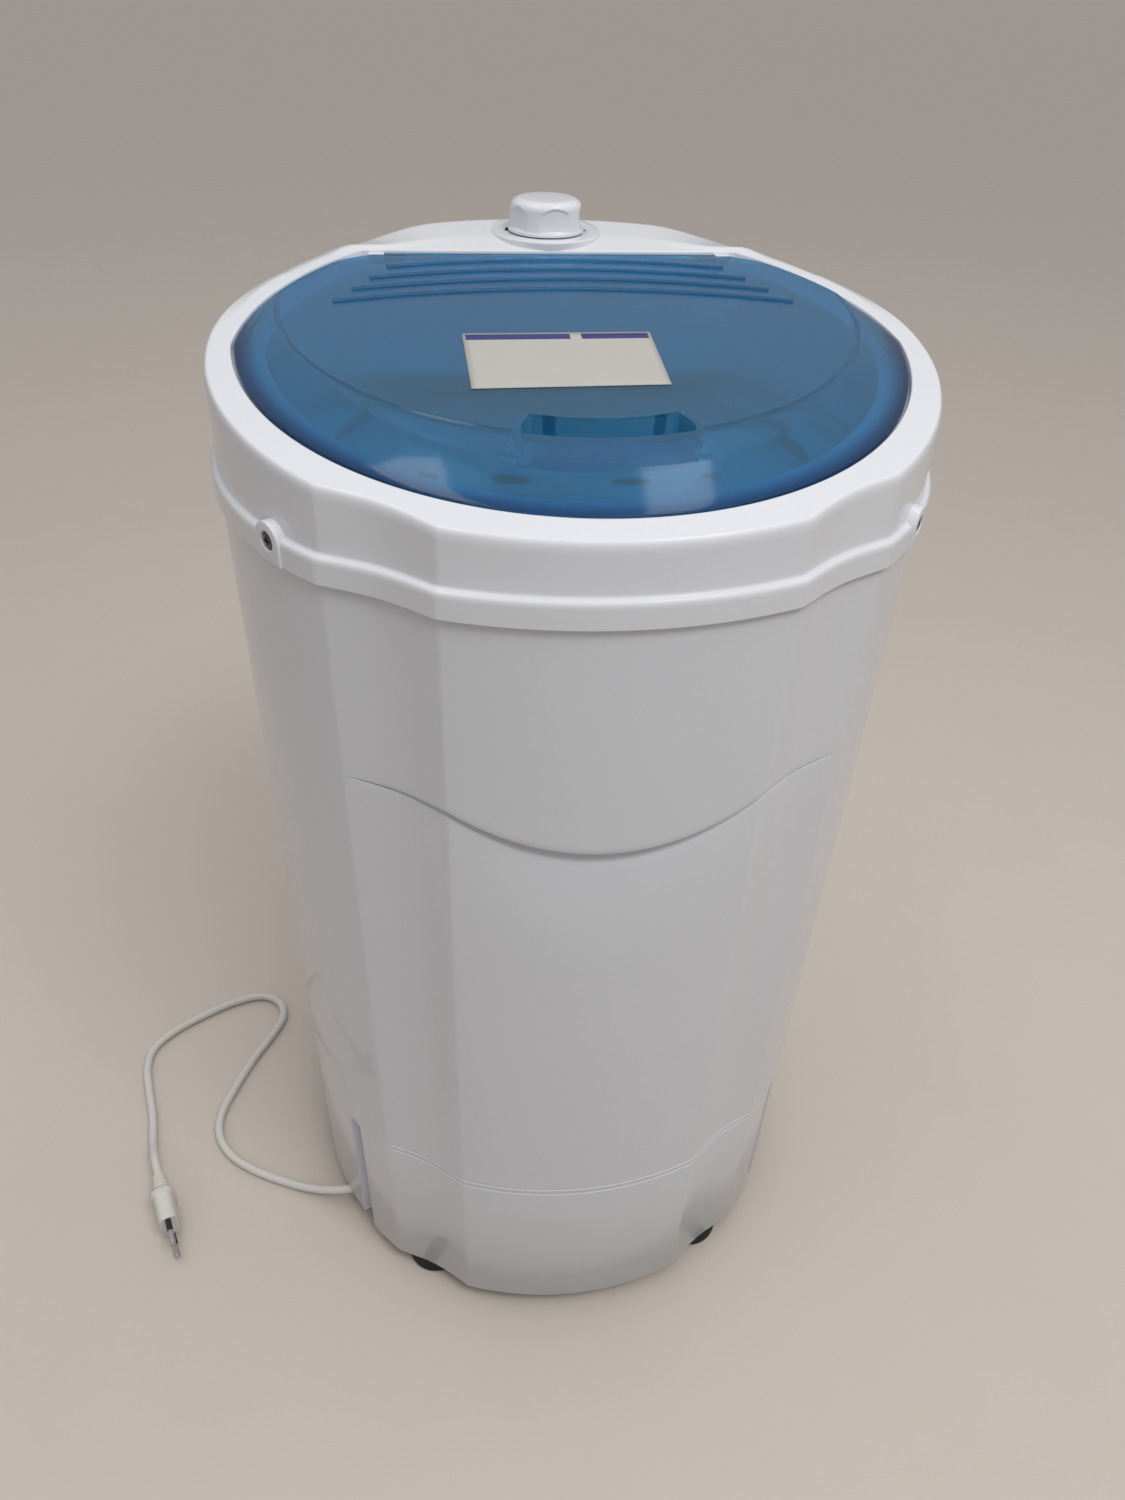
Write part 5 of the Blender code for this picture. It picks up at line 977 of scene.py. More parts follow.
def screw_pad():
    """A round-topped pad with straight sides, and the sunk seat of a cover screw in it."""
    foot = -(BAND_HEIGHT - SCREW_DROP) + 0.0002
    root = -TIER_INSET - WALL / 2
    count = 40
    turns = [tau * (i + 0.5) / count for i in range(count)]

    def outline(inset, depth):
        points = []
        radius = BOSS_RADIUS - inset
        for turn in turns:
            across, rise = polar(radius, turn)
            if rise < 0:
                across = copysign(min(radius, abs(across) * BOSS_FLARE), across)
                rise = max(foot + inset, BOSS_STRETCH * rise)
            points.append((across, -depth, rise))
        return points

    def hole(radius, depth):
        return [(x, -depth, z) for x, z in (polar(radius, turn) for turn in turns)]

    loops = [
        outline(0.0, root),
        outline(0.0, BOSS_PROUD - 0.0006),
        outline(0.0002, BOSS_PROUD - 0.00018),
        outline(0.0007, BOSS_PROUD),
        hole(SCREW_BORE + 0.0006, BOSS_PROUD),
        hole(SCREW_BORE + 0.0001, BOSS_PROUD - 0.0004),
        hole(SCREW_BORE, SCREW_SEAT),
    ]
    return stack_of_loops("screw_pad", loops, sharp=40)


def cover_screw():
    """Pan head with a cross slot."""
    seat = SCREW_SEAT + GAP
    face = seat + SCREW_HEAD_HEIGHT
    corners = [
        (0.0, seat - SCREW_SHANK_LENGTH - SCREW_TIP),
        (SCREW_SHANK, seat - SCREW_SHANK_LENGTH),
        (SCREW_SHANK, seat),
        (SCREW_HEAD_RADIUS, seat, 0.0002, 2),
        (0.96 * SCREW_HEAD_RADIUS, seat + 0.75 * SCREW_HEAD_HEIGHT, 0.0011, 5),
        (0.0, face),
    ]
    screw = lathe("cover_screw", soften(corners), 36, None, OUTWARD)
    half_long, half_wide, depth = 0.0021, 0.00045, 0.0012
    for wide, tall in ((half_long, half_wide), (half_wide, half_long)):
        loop = [(-wide, -tall), (wide, -tall), (wide, tall), (-wide, tall)]
        loops = [[(x, -end, z) for x, z in loop] for end in (face - depth, face + 0.001)]
        carve(screw, "DIFFERENCE", stack_of_loops("cross", loops))
    return screw


def hinge_height():
    return top_height(HINGE_Y) - HINGE_RADIUS


def hinge_ear(name, side):
    """A knuckle of the cover beside the lid's barrel, joined to the deck behind it."""
    back = HINGE_RADIUS + HINGE_SLACK + WALL
    turns = [pi / 2 + pi * step / 12 for step in range(13)]
    outline = [polar(HINGE_RADIUS, turn) for turn in turns]
    outline += [(back, -HINGE_RADIUS), (back, HINGE_RADIUS - GAP)]
    near = HINGE_HALF_LENGTH + GAP
    level = hinge_height()
    loops = []
    for x in (near, near + HINGE_EAR):
        loops.append([(side * x, HINGE_Y + y, level + z - GAP) for y, z in outline])
    return stack_of_loops(name, loops, WHITE)


def plunger_bore():
    """Room for the lid switch's plunger to come up through the ledge."""
    low, high = (Vector(corner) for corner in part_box("lid_switch_plunger"))
    radius = (high.x - low.x) / 2 + GAP
    length = high.z - low.z
    return rod("plunger_bore", radius, -length, length, 24, None, posed((low + high) / 2))


def make_top_cover():
    corner = corner_angle(*RECESS)
    extra = [corner, corner_angle(*THROAT), corner + RECESS_CORNER_TURN]
    sections = [cover_section(angle) for angle in outline_angles(extra)]
    cover = ring_of_sections("cover_shell", sections, WHITE)
    places = four_places(BOSS_ANGLE, BODY_RADIUS, LEDGE_HEIGHT - SCREW_DROP)
    head = rod("head", SCREW_BORE, SCREW_SEAT - 0.0001, SCREW_ROOM, 40, None, OUTWARD)
    collar_place = posed((0, KNOB_Y, COLLAR_TOP))
    sink_radius = COLLAR_RADIUS + COLLAR_MOAT
    sink = rod("sink", sink_radius, -COLLAR_MOAT, COLLAR_ROOM, 72, None, collar_place)
    carve(cover, "DIFFERENCE", repeated("heads", head, places), sink, plunger_bore())
    weigh_normals(cover)
    dress(cover, "body", "white_plastic", "top_cover")
    pads = repeated("screw_pads", screw_pad(), places, WHITE)
    dress(pads, "body", "white_plastic")
    screws = repeated("cover_screws", cover_screw(), places, DARK_STEEL)
    dress(screws, "body", "dark_steel", *[f"cover_screw_{name}" for name in CORNERS])
    for name, side in (("left", -1), ("right", 1)):
        dress(hinge_ear(f"hinge_ear_{name}", side), "body", "white_plastic")
    corners = [
        (0.0, -COLLAR_DEPTH),
        (COLLAR_RADIUS, -COLLAR_DEPTH),
        (COLLAR_RADIUS, 0.0, 0.0011, 5),
        (COLLAR_WELL + 0.0002, 0.0, 0.0005, 3),
        (COLLAR_WELL, -COLLAR_WELL_DEPTH, 0.0003, 2),
        (0.0, -COLLAR_WELL_DEPTH),
    ]
    collar = lathe("timer_collar", soften(corners), 96, WHITE, collar_place)
    dress(collar, "body", "white_plastic")


# Lid


def lid_rise(y):
    """Height of the lid's flat top over the sloping top of the body."""
    front = LID_CENTRE + LID_CREASE_SHIFT - LID_CREASE_RADIUS
    share = (CHORD_Y - y) / (CHORD_Y - front)
    return LID_REAR_RISE + (LID_FRONT_RISE - LID_REAR_RISE) * min(1.0, max(0.0, share))


def reach_to(turn, shift, radius):
    """Distance from the lid's centre to a circle shifted to the rear, in one direction."""
    along = shift * sin(turn)
    return along + sqrt(radius**2 - shift**2 + along**2)


def lid_edge(turn):
    """Distance from the lid's centre to its rim, in one direction on the sloping top."""
    radius = LID_RADIUS + LID_OVERSIZE
    edge = min(radius, reach_to(turn, (LID_REAR_CENTRE - LID_CENTRE) / SQUASH, radius))
    rear = (CHORD_Y - LID_CENTRE) / SQUASH
    if sin(turn) > 0:
        trimmed = rear + CORNER_SLOPE * (LID_RADIUS - CORNER_TRIM)
        corner = trimmed / (sin(turn) + CORNER_SLOPE * abs(cos(turn)))
        edge = min(edge, rear / sin(turn), corner)
    return edge


def lid_section(turn):
    """Points from the top centre over the rim to the underside, in one direction from the lid's centre."""
    edge = lid_edge(turn)
    crease = min(reach_to(turn, LID_CREASE_SHIFT, LID_CREASE_RADIUS), edge - LID_CREASE_MARGIN)
    brow = max(crease + 0.001, reach_to(turn, LID_BROW_SHIFT, LID_BROW_RADIUS))
    brow = min(brow, edge - LID_BROW_MARGIN)
    run = edge - brow

    def y_at(reach):
        return LID_CENTRE + SQUASH * reach * sin(turn)

    flat = lid_rise(y_at(crease))
    brow_rise = flat - LID_BROW_SLOPE * (brow - crease)
    lip = max(edge - LIP_INSET, brow + 0.7 * run)

    def sloped(reach):
        share = (reach - brow) / run
        return (reach, brow_rise * (1 - 0.8 * share - 0.2 * share**2))

    half = crease / 2
    half_rise = lid_rise(y_at(half))
    corners = [
        (half, half_rise),
        (crease - 2 * CREASE_STEP, flat, 0.0005, 3),
        (crease, flat - CREASE_STEP, 0.0005, 3),
        (brow, brow_rise, 0.0012, 3),
    ]
    corners += [sloped(brow + share * (lip - brow)) for share in (0.15, 0.3, 0.45, 0.6)]
    corners += [
        sloped(lip),
        sloped(lip + 0.6 * (edge - lip)),
        (edge, -0.0002, 0.0006, 4),
        (edge, -LID_RIM, 0.0005, 3),
        (brow + 0.80 * run, -LID_RIM, 0.0030, 6),
        (brow + 0.52 * run, min(0.50 * brow_rise - LID_THICKNESS, 0), 0.0040, 6),
        (brow, brow_rise - LID_THICKNESS),
        (crease, flat - LID_THICKNESS, 0.0015, 3),
        (half, half_rise - LID_THICKNESS),
    ]
    points = []
    for reach, rise in soften(corners):
        y = y_at(reach)
        points.append((reach * cos(turn), y, top_height(y) + rise))
    return points


def lid_plate():
    half_chord = sqrt(LID_RADIUS**2 - (CHORD_Y - LID_REAR_CENTRE) ** 2)
    corner = atan2(CHORD_Y - LID_CENTRE, half_chord)
    turns = spread(corner, pi - corner, 40) + spread(pi - corner, tau + corner, 200)
    bm = bmesh.new()
    rows = [[bm.verts.new(point) for point in lid_section(turn)] for turn in turns]
    middle = top_height(LID_CENTRE) + lid_rise(LID_CENTRE)
    over = bm.verts.new((0, LID_CENTRE, middle))
    under = bm.verts.new((0, LID_CENTRE, middle - LID_THICKNESS))
    pairs = list(zip(rows, rows[1:] + rows[:1]))
    strip_faces(bm, pairs, False)
    for one, two in pairs:
        bm.faces.new((one[0], two[0], over))
        bm.faces.new((one[-1], two[-1], under))
    return piece_from("lid_shell", bm, BLUE)


def hinge_rod(name, radius, ends, sides, material=None):
    """A round bar on the hinge's line."""
    aim = posed((0, HINGE_Y, hinge_height()), (0, pi / 2, 0))
    return rod(name, radius, min(ends), max(ends), sides, material, aim)


def pin_bore(side):
    ends = (side * (HINGE_HALF_LENGTH - HINGE_PIN_SEAT), side * (HINGE_HALF_LENGTH + HINGE_PIN_REACH))
    return hinge_rod("pin_bore", HINGE_PIN_RADIUS + GAP, ends, 20)


def ear_notch(side):
    ends = sorted((side * HINGE_HALF_LENGTH, side * (HINGE_HALF_LENGTH + HINGE_EAR + 3 * GAP)))
    room = 0.01
    front, back = HINGE_Y - HINGE_RADIUS - 3 * GAP, HINGE_Y + room
    loop = [(ends[0], front), (ends[1], front), (ends[1], back), (ends[0], back)]
    loops = [[(x, y, hinge_height() + z) for x, y in loop] for z in (-room, room)]
    return stack_of_loops("ear_notch", loops)


def grip_block(shell):
    """The finger pocket in the front of the lid, or the shell round it."""
    half_width = GRIP_HALF_WIDTH + shell
    front, back = GRIP_FRONT - shell, GRIP_FRONT + GRIP_LENGTH + shell
    chamfer_wide, chamfer_long = GRIP_CHAMFER
    floor = top_height(GRIP_FRONT) + lid_rise(GRIP_FRONT) - GRIP_DEPTH - shell
    rise = lid_rise(GRIP_FRONT) - LID_THICKNESS / 2 if shell else GRIP_OPENING
    level = top_height(GRIP_FRONT) + rise
    lift = TOP_SLOPE - (LID_FRONT_RISE - LID_REAR_RISE) / (2 * LID_RADIUS)
    steps = 12

    def outline(inset):
        wide, near, far = half_width - inset, front + inset, back - inset
        corners = []
        for i in range(steps + 1):
            share = 2 * i / steps - 1
            rounding = (0.0015, 3) if i in (0, steps) else ()
            corners.append((share * wide, near - GRIP_BOW * (1 - share * share), *rounding))
        corners.append((wide, far - chamfer_long, 0.002, 3))
        corners.append((wide - chamfer_wide, far, 0.0015, 3))
        for i in range(1, steps):
            share = 1 - 2 * i / steps
            corners.append((share * (wide - chamfer_wide), far - GRIP_BOW * (1 - share * share)))
        corners.append((-wide + chamfer_wide, far, 0.0015, 3))
        corners.append((-wide, far - chamfer_long, 0.002, 3))
        return soften(corners, closed=True)

    loops = []
    for inset, height in ((GRIP_TAPER + 0.0012, floor), (GRIP_TAPER, floor + 0.0009), (0.0, level)):
        loops.append([(x, y, height + lift * (y - GRIP_FRONT)) for x, y in outline(inset)])
    return stack_of_loops("grip", loops, BLUE)


def rib_tree(values):
    """Geometry nodes for bowed bars across the lid, each longer than the one behind it."""
    kinds = {"Base": "Geometry", "Count": "Int", **dict.fromkeys(values, "Float"), "Finish": "Material"}
    tree, source, sink = new_group("bowed_ribs", "GeometryNodeTree", kinds, {"Ribs": "Geometry"})
    ends = {"Start": (-1.0, 0.0, 0.0), "End": (1.0, 0.0, 0.0)}
    line = wire(tree, "GeometryNodeCurvePrimitiveLine", ends)["Curve"]
    points = wire(tree, "GeometryNodeResampleCurve", {"Curve": line, "Count": 49})["Curve"]
    amount = {"Geometry": points, "Amount": source["Count"]}
    copies = wire(tree, "GeometryNodeDuplicateElements", amount, domain="SPLINE")
    index = copies["Duplicate Index"]
    spot = wire(tree, "GeometryNodeInputPosition", {})["Position"]
    share = wire(tree, "ShaderNodeSeparateXYZ", {"Vector": spot})["X"]
    half = calculate(tree, "MULTIPLY_ADD", index, source["Growth"], source["Half Length"])
    sweep = calculate(tree, "MULTIPLY_ADD", index, source["Bow Growth"], source["Bow"])
    bow = calculate(tree, "MULTIPLY", calculate(tree, "MULTIPLY", share, share), sweep)
    back = calculate(tree, "MULTIPLY_ADD", index, source["Pitch"], bow)
    fall = calculate(tree, "MULTIPLY", back, source["Slope"])
    place = {
        "X": calculate(tree, "MULTIPLY", share, half),
        "Y": calculate(tree, "SUBTRACT", source["Rear"], back),
        "Z": calculate(tree, "SUBTRACT", source["Level"], fall),
    }
    shift = wire(tree, "ShaderNodeCombineXYZ", place)["Vector"]
    moved = {"Geometry": copies["Geometry"], "Position": shift}
    curves = wire(tree, "GeometryNodeSetPosition", moved)["Geometry"]
    upright = wire(tree, "GeometryNodeSetCurveNormal", {"Curve": curves}, mode="Z_UP")["Curve"]
    circle = wire(tree, "GeometryNodeCurvePrimitiveCircle", {"Resolution": 14, "Radius": 1.0})["Curve"]
    size = {"X": calculate(tree, "MULTIPLY", source["Width"], 0.5), "Y": source["Height"], "Z": 1.0}
    scale = wire(tree, "ShaderNodeCombineXYZ", size)["Vector"]
    section = wire(tree, "GeometryNodeTransform", {"Geometry": circle, "Scale": scale})["Geometry"]
    swept = {"Curve": upright, "Profile Curve": section, "Fill Caps": True}
    return realise(tree, wire(tree, "GeometryNodeCurveToMesh", swept)["Mesh"], source, sink)


def make_ribs():
    rear = CHORD_Y - RIB_FIRST
    fall = lid_rise(rear - RIB_RUN) - lid_rise(rear)
    values = {
        "Pitch": RIB_PITCH,
        "Half Length": RIB_HALF_LENGTH,
        "Growth": RIB_GROWTH,
        "Bow": RIB_BOW,
        "Bow Growth": RIB_BOW_GROWTH,
        "Width": RIB_WIDTH,
        "Height": RIB_HEIGHT,
        "Rear": rear,
        "Level": top_height(rear) + lid_rise(rear),
        "Slope": TOP_SLOPE - fall / RIB_RUN,
    }
    mesh = bpy.data.meshes.new("lid_ribs")
    ribs = grow("lid_ribs", mesh, rib_tree(values), {"Count": RIB_COUNT, **values, "Finish": BLUE})
    dress(ribs, "lid", "blue_plastic")


def paint_pocket_light(lid):
    """Give the walls and floor of the finger pocket a lighter, milkier copy of the lid's blue: painted
    light that lifts the shade in the pocket.
    """
    lid.data.materials.append(POCKET_PAINTED_LIGHT_BLUE)
    half_width = GRIP_HALF_WIDTH + 2 * LID_THICKNESS
    front = GRIP_FRONT - GRIP_BOW - 2 * LID_THICKNESS
    back = GRIP_FRONT + GRIP_LENGTH + 2 * LID_THICKNESS
    for face in lid.data.polygons:
        x, y, z = face.center
        under = top_height(y) + lid_rise(y) - z
        if abs(x) < half_width and front < y < back and under > LID_THICKNESS + 2 * GAP:
            face.material_index = 1


def make_lid():
    lid = lid_plate()
    barrel = hinge_rod("barrel", HINGE_RADIUS, (-HINGE_HALF_LENGTH, HINGE_HALF_LENGTH), 28, BLUE)
    carve(lid, "UNION", barrel, grip_block(LID_THICKNESS))
    carve(lid, "DIFFERENCE", ear_notch(-1), ear_notch(1), grip_block(0.0))
    carve(lid, "DIFFERENCE", pin_bore(-1), pin_bore(1))
    weigh_normals(lid)
    paint_pocket_light(lid)
    dress(lid, "lid", "blue_plastic", "lid")
    make_ribs()
    make_label()


def make_label():
    """A thin paper label that lies on the lid's flat top."""
    columns, rows = 24, 14
    bm = bmesh.new()
    uv = bm.loops.layers.uv.new("sheet")
    corners = [Vector(corner) for corner in LABEL_CORNERS]
    grid = []
    for j in range(rows + 1):
        low = corners[0].lerp(corners[3], j / rows)
        high = corners[1].lerp(corners[2], j / rows)
        line = []
        for i in range(columns + 1):
            spot = low.lerp(high, i / columns)
            height = top_height(spot.y) + lid_rise(spot.y) + LABEL_LIFT
            line.append(bm.verts.new((spot.x, spot.y, height)))
        grid.append(line)
    for j in range(rows):
        for i in range(columns):
            cell = ((i, j), (i + 1, j), (i + 1, j + 1), (i, j + 1))
            face = bm.faces.new([grid[b][a] for a, b in cell])
            for loop, (a, b) in zip(face.loops, cell):
                loop[uv].uv = (a / columns, b / rows)
    label = piece_from("lid_label", bm, LABEL)
    modifier = label.modifiers.new("paper", "SOLIDIFY")
    modifier.thickness = LABEL_THICKNESS
    modifier.offset = 1.0
    settle(label)
    dress(label, "lid", "blue_plastic")


# Timer knob


def make_knob():
    foot = COLLAR_TOP + KNOB_LIFT
    top = foot + KNOB_HEIGHT
    sides = 40 * KNOB_LOBES
    skirt = KNOB_RADIUS + 0.0004
    grip = KNOB_RADIUS - 0.0002
    period = tau / KNOB_LOBES

    def ring(radius, height, depth=0.0):
        points = []
        for turn in spread(0, tau, sides):
            offset = (turn - KNOB_FLUTE_TURN + period / 2) % period - period / 2
            share = min(1.0, abs(offset) / KNOB_FLUTE_HALF)
            arch = top - KNOB_FLUTE_DROP - KNOB_FLUTE_FALL * share**2
            scallop = KNOB_FLUTE * depth * (1 - share**2) * ease((arch - height) / KNOB_FLUTE_FADE)
            x, y = polar(radius - scallop, turn)
            points.append((x, KNOB_Y + y, height))
        return points

    loops = [
        ring(KNOB_RADIUS - 0.004, foot),
        ring(skirt - 0.0003, foot),
        ring(skirt, foot + 0.0003),
        ring(skirt, foot + 0.0013),
        ring(skirt - 0.0003, foot + 0.0017),
        ring(KNOB_RADIUS - 0.0001, foot + 0.0021, 0.6),
        ring(grip, foot + KNOB_SKIRT, 1.0),
    ]
    side = KNOB_HEIGHT - KNOB_SKIRT - KNOB_SHOULDER
    for share in (0.25, 0.5, 0.75, 0.9, 1.0):
        loops.append(ring(grip - 0.0006 * share, foot + KNOB_SKIRT + side * share, 1.0))
    for degrees in range(6, 91, 6):
        arc = radians(degrees)
        inset = 0.0008 + KNOB_ROUND * (1 - cos(arc))
        rise = (KNOB_SHOULDER - 0.0002) * sin(arc)
        loops.append(ring(KNOB_RADIUS - inset, top - KNOB_SHOULDER + rise, 1.0))
    loops.append(ring(0.5 * KNOB_RADIUS, top))
    loops.append(ring(0.25 * KNOB_RADIUS, top))
    knob = stack_of_loops("knob_cap", loops, WHITE)
    dress(knob, "knob", "white_plastic", "timer_knob")


# Press plate, seen through the lid


def make_press_plate():
    low = BASKET_TOP - DISC_DROP
    edge = BASKET_RADIUS - WALL - DISC_GAP
    corners = [
        (0.0, low),
        (edge - WALL, low, 0.0008, 3),
        (edge - WALL, low - DISC_LIP, 0.0006, 3),
        (edge, low - DISC_LIP, 0.0006, 3),
        (edge, low + DISC_THICKNESS, 0.0010, 4),
        (0.0, low + DISC_THICKNESS),
    ]
    plate = lathe("press_plate", soften(corners), 120, INNER_WHITE)
    for distance, count, radius in (FINGER_HOLES, VENTS):
        turns = spread(0, tau, count)
        places = [((*polar(distance, turn), low), (0.0, 0.0, turn)) for turn in turns]
        hole = rod("hole", radius, *HOLE_SPAN, 40)
        carve(plate, "DIFFERENCE", repeated("holes", hole, places))
    dress(plate, "disc", "white_plastic", "press_disc")


# Feet


def make_feet():
    skirt = CASING_CLEARANCE - 2 * GAP
    corners = [
        (0.0, FOOT_HOLLOW),
        (0.45 * FOOT_RADIUS, FOOT_HOLLOW, 0.0005, 2),
        (0.55 * FOOT_RADIUS, 0.0, 0.0005, 2),
        (0.92 * FOOT_RADIUS, 0.0, 0.0012, 4),
        (FOOT_RADIUS, 0.2 * skirt, 0.0016, 4),
        (0.95 * FOOT_RADIUS, skirt, 0.0012, 4),
        (FOOT_NECK, skirt, 0.0004, 2),
        (FOOT_NECK, FOOT_NECK_TOP),
        (0.0, FOOT_NECK_TOP),
    ]
    foot = lathe("foot", soften(corners), 64)
    feet = repeated("rubber_feet", foot, four_places(FOOT_ANGLE, FOOT_DISTANCE, 0.0), RUBBER)
    dress(feet, "body", "rubber", *[f"foot_{name}" for name in CORNERS])


# Mains lead, which falls from the casing to the floor and lies there until it rises to its plug

LIE = CORD_RADIUS + GAP
CORD_START = GLAND_X - GLAND_LENGTH - 2 * GAP
CORD_END = PLUG_PLACE - GAP * PLUG_HEADING
CORD_ON_FLOOR = (
    (-0.200, -0.0560),
    (-0.225, -0.0435),
    (-0.244, -0.0290),
    (-0.255, -0.0110),
    (-0.256, 0.0090),
    (-0.248, 0.0330),
    (-0.236, 0.0600),
    (-0.223, 0.0830),
    (-0.216, 0.1010),
    (-0.221, 0.1170),
    (-0.237, 0.1250),
    (-0.260, 0.1200),
    (-0.284, 0.1080),
    (-0.306, 0.0930),
    (-0.319, 0.0770),
    (-0.321, 0.0590),
    (-0.316, 0.0370),
    (-0.309, 0.0120),
)
CORD_POINTS = [
    (CORD_START, GLAND_Y, CORD_HEIGHT),
    (CORD_START - 6 * CORD_RADIUS, GLAND_Y, CORD_HEIGHT),
    (-0.166, -0.0702, 0.0112),
    (-0.182, -0.0640, 0.0060),
    *[(x, y, LIE) for x, y in CORD_ON_FLOOR],
    (-0.304, -0.0130, LIE + 0.0025),
    CORD_END - 0.016 * PLUG_HEADING,
    CORD_END,
]


def smooth_route(points, per_span):
    """Points close together on a smooth curve through the given ones."""
    knots = [Vector(point) for point in points]
    route = []
    for k in range(len(knots) - 1):
        before = knots[max(k - 1, 0)]
        start, end = knots[k], knots[k + 1]
        after = knots[min(k + 2, len(knots) - 1)]
        for i in range(per_span):
            t = i / per_span
            pull = (end - before) * (t - 2 * t * t + t**3) / 2
            push = (after - start) * (t**3 - t * t) / 2
            route.append(start * (1 - 3 * t * t + 2 * t**3) + end * (3 * t * t - 2 * t**3) + pull + push)
    return route + [knots[-1]]


def make_cord(plug_pieces):
    route = smooth_route(CORD_POINTS, 8)
    curve = bpy.data.curves.new("mains_cord", "CURVE")
    curve.dimensions = "3D"
    curve.bevel_depth = CORD_RADIUS
    curve.bevel_resolution = 6
    curve.use_fill_caps = True
    spline = curve.splines.new("POLY")
    spline.points.add(len(route) - 1)
    for point, spot in zip(spline.points, route):
        point.co = (*spot, 1.0)
    spline.use_smooth = True
    curve.materials.append(CORD_WHITE)
    cord = put("mains_cord", curve)
    dress(cord, "body", "cord_white", "power_cord")


def make_cord_relief():
    """Tapered sleeve with rings, where the lead leaves the base."""
    base = 0.8 * GLAND_RADIUS
    tip = 1.4 * CORD_RADIUS
    corners = [
        (0.0, GAP),
        (GLAND_RADIUS, GAP, 0.0004, 2),
        (GLAND_RADIUS, 0.003, 0.0004, 2),
        (base, GLAND_FLANGE, 0.0003, 2),
    ]
    for i in range(GLAND_RINGS):
        start = 0.006 + (GLAND_LENGTH - 0.009) * i / GLAND_RINGS
        radius = base + (tip - base) * (start - GLAND_FLANGE) / (GLAND_LENGTH - GLAND_FLANGE)
        for dip, offset in ((0.0, 0.0), (0.0007, 0.0006), (0.0007, 0.0018), (0.0001, 0.0024)):
            corners.append((radius - dip, start + offset, 0.0002, 2))
    corners += [(tip, GLAND_LENGTH, 0.0006, 3), (0.0, GLAND_LENGTH)]
    aim = Vector((-1, 0, 0)).to_track_quat("Z", "Y").to_matrix().to_4x4()
    place = Matrix.Translation((GLAND_X, GLAND_Y, CORD_HEIGHT)) @ aim
    relief = lathe("cord_relief", soften(corners), 40, CORD_WHITE, place)
    dress(relief, "body", "cord_white", "cord_gland")


def make_plug():
    """Moulded plug with a finger flange, and its two round pins with insulated roots."""
    up = Vector((0, 0, 1))
    across = PLUG_HEADING.cross(up)
    sides = 64
    neck = PLUG_SLEEVE
    collar = neck + PLUG_FLANGE
    end = collar + PLUG_BODY
    wide, high = PLUG_HALF_WIDTH, PLUG_HALF_HEIGHT
    brim_wide, brim_high, brim_round = wide + 0.0015, high + 0.001, 0.0006

    def section(distance, half_width, half_height, power=0.62):
        points = []
        for i in range(sides):
            turn = tau * (i + 0.5) / sides
            x, z = cos(turn), sin(turn)
            x = copysign(abs(x) ** power, x) * half_width
            z = copysign(abs(z) ** power, z) * half_height
            points.append(PLUG_PLACE + PLUG_HEADING * distance + across * x + up * z)
        return points

    def sleeve(distance, size):
        return section(distance, size * CORD_RADIUS, size * CORD_RADIUS, 0.95)

    loops = [sleeve(0.0, 1.35), sleeve(0.0004, 1.5)]
    for i in range(PLUG_GROOVES):
        start = 0.0015 + 0.0105 * i / PLUG_GROOVES
        size = 1.5 + 0.4 * start / 0.012
        for offset, dip in ((0.0, 0.0), (0.0005, 0.16), (0.0013, 0.16), (0.0018, 0.0)):
            loops.append(sleeve(start + offset, size - dip))
    loops += [
        section(0.75 * neck, 1.95 * CORD_RADIUS, 2.1 * CORD_RADIUS, 0.85),
        section(0.9 * neck, 0.85 * wide, 0.72 * high, 0.7),
        section(neck, 0.9 * wide, 0.85 * high),
        section(neck + 0.0004, brim_wide - brim_round, brim_high - brim_round),
        section(neck + 0.0010, brim_wide, brim_high),
        section(collar - 0.0008, brim_wide, brim_high),
        section(collar - 0.0002, brim_wide - brim_round, brim_high - brim_round),
        section(collar + 0.0003, wide + 0.0003, high + 0.0002),
        section(collar + 0.0010, wide, high),
        section(end - 0.0016, 0.97 * wide, 0.97 * high),
        section(end - 0.0004, 0.93 * wide, 0.95 * high),
        section(end, 0.86 * wide, 0.92 * high),
    ]
    plug = stack_of_loops("plug_moulding", loops, CORD_WHITE)
    dress(plug, "body", "cord_white", "plug_body")
    facing = tuple(PLUG_HEADING.to_track_quat("Z", "Y").to_euler())
    root = PLUG_PLACE + PLUG_HEADING * (end + GAP)
    places = [(root + up * sign * PIN_SPACING / 2, facing) for sign in (-1, 1)]
    corners = [
        (0.0, 0.0),
        (0.86 * PIN_RADIUS, 0.0),
        (0.86 * PIN_RADIUS, PIN_ROOT),
        (PIN_RADIUS, PIN_ROOT, 0.0002, 2),
        (PIN_RADIUS, PIN_LENGTH, 0.0014, 5),
        (0.0, PIN_LENGTH),
    ]
    pins = repeated("plug_pins", lathe("pin", soften(corners), 28), places, STEEL)
    dress(pins, "body", "steel", "plug_pin_lower", "plug_pin_upper")
    inner, length = 0.88 * PIN_RADIUS, PIN_ROOT - 0.0002
    corners = [(inner, 0.0), (PIN_RADIUS, 0.0, 0.0002, 2), (PIN_RADIUS, length, 0.0002, 2), (inner, length)]
    sleeves = repeated("pin_sleeves", lathe("sleeve", soften(corners, True), 28), places, BLACK)
    dress(sleeves, "body", "black_plastic")
    return [plug, pins, sleeves]


# Stage, light and camera


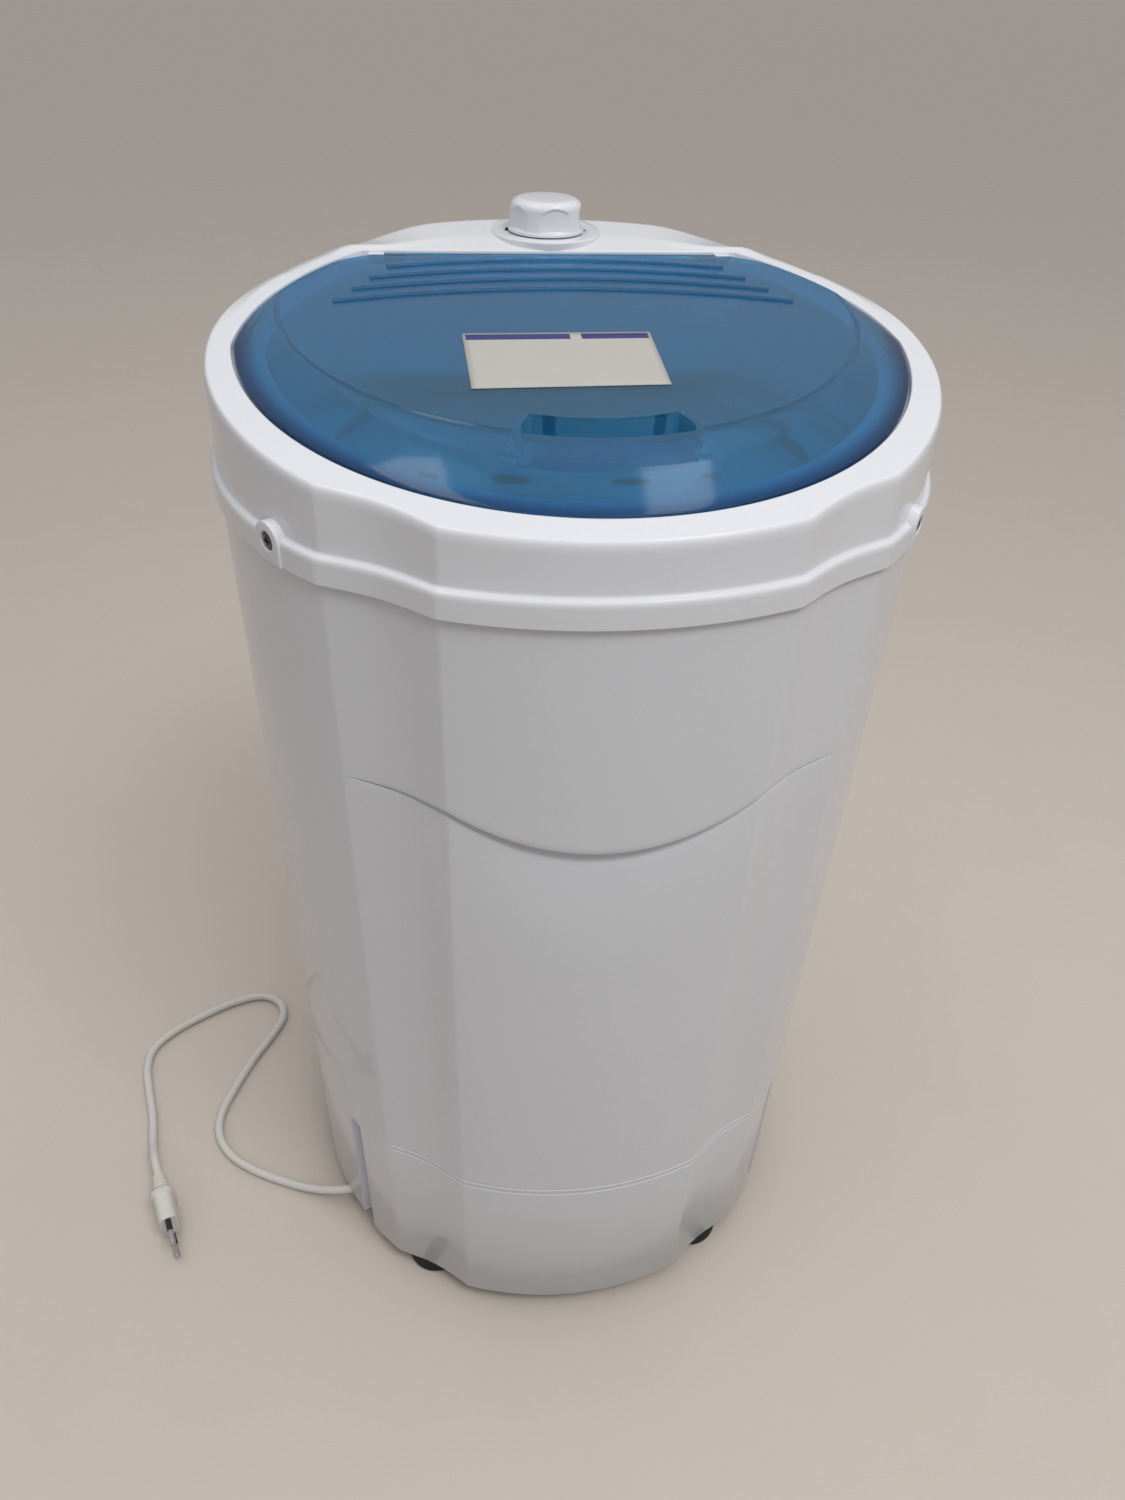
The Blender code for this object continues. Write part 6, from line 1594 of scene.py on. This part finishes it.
def make_floor():
    """A wide floor that sends less light back to the object than the camera sees on it."""
    half = FLOOR_HALF_WIDTH
    bm = bmesh.new()
    corners = ((-half, -half), (half, -half), (half, half), (-half, half))
    bm.faces.new([bm.verts.new((x, y, FLOOR_LEVEL)) for x, y in corners])
    material = finish("pale_floor", FLOOR_TINT, 0.5, SATIN, Mottle=0.01, Relief=0.01)
    bounced = wire(material.node_tree, "ShaderNodeLightPath", {})["Is Diffuse Ray"]
    blend_tint(material, bounced, FLOOR_BOUNCE)
    piece_from("floor", bm, material)


def soft_box(name, place, size, power, colour):
    """A flat lamp that faces the middle of the object."""
    light = bpy.data.lights.new(name, "AREA")
    light.shape = "RECTANGLE"
    light.size, light.size_y = size
    light.energy = power
    light.color = colour
    obj = put(name, light)
    obj.location = place
    direction = LIGHT_TARGET - obj.location
    obj.rotation_euler = direction.to_track_quat("-Z", "X").to_euler()
    return obj


def make_world():
    """Soft sky that is brightest overhead."""
    world = bpy.data.worlds.new("studio")
    bpy.context.scene.world = world
    world.use_nodes = True
    tree = world.node_tree
    place = wire(tree, "ShaderNodeTexCoord", {})["Generated"]
    height = wire(tree, "ShaderNodeSeparateXYZ", {"Vector": place})["Z"]
    fill(tree, tree.nodes["Background"], {"Color": mix_colour(tree, height, SKY_LOW, SKY_HIGH)})


def make_light():
    make_world()
    for name, x in (("ceiling_left", -CEILING_X), ("ceiling_right", CEILING_X)):
        soft_box(name, (x, 0.0, CEILING_HEIGHT), CEILING_SIZE, CEILING_POWER, CEILING_COLOUR)
    key = soft_box("front_key", KEY_PLACE, KEY_SIZE, KEY_POWER, KEY_COLOUR)
    key.visible_glossy = False


def make_camera():
    camera = bpy.data.cameras.new("photo_camera")
    camera.lens = CAMERA_LENS
    camera.sensor_width = CAMERA_SENSOR
    camera.sensor_fit = "AUTO"
    camera.clip_start = 0.01
    obj = put("photo_camera", camera)
    level = Vector((sin(CAMERA_YAW), cos(CAMERA_YAW), 0.0))
    side = Vector((cos(CAMERA_YAW), -sin(CAMERA_YAW), 0.0))
    sky = Vector((0.0, 0.0, 1.0))
    ahead = cos(CAMERA_PITCH) * level - sin(CAMERA_PITCH) * sky
    top = sin(CAMERA_PITCH) * level + cos(CAMERA_PITCH) * sky
    right = cos(CAMERA_ROLL) * side + sin(CAMERA_ROLL) * top
    up = cos(CAMERA_ROLL) * top - sin(CAMERA_ROLL) * side
    turn = Matrix((right, up, -ahead)).transposed().to_4x4()
    obj.matrix_world = Matrix.Translation(CAMERA_PLACE) @ turn
    bpy.context.scene.camera = obj


def dress_solids():
    """Give every solid that stays in view the finish of its slot."""
    slots = {part["node"]: part["material_slot"] for part in frame["record"]["subparts"]}
    for name, node in frame["nodes"].items():
        material = SLOT_FINISHES[slots[name]]
        if not node.material_slots:
            node.data.materials.append(material)
        for slot in node.material_slots:
            slot.link = "OBJECT"
            slot.material = material


def main():
    bpy.context.scene.view_settings.view_transform = "Standard"
    make_camera()
    dress_solids()
    make_cord(make_plug())
    make_cord_relief()
    make_casing()
    make_top_cover()
    make_lid()
    make_knob()
    make_press_plate()
    make_feet()
    make_floor()
    make_light()


main()
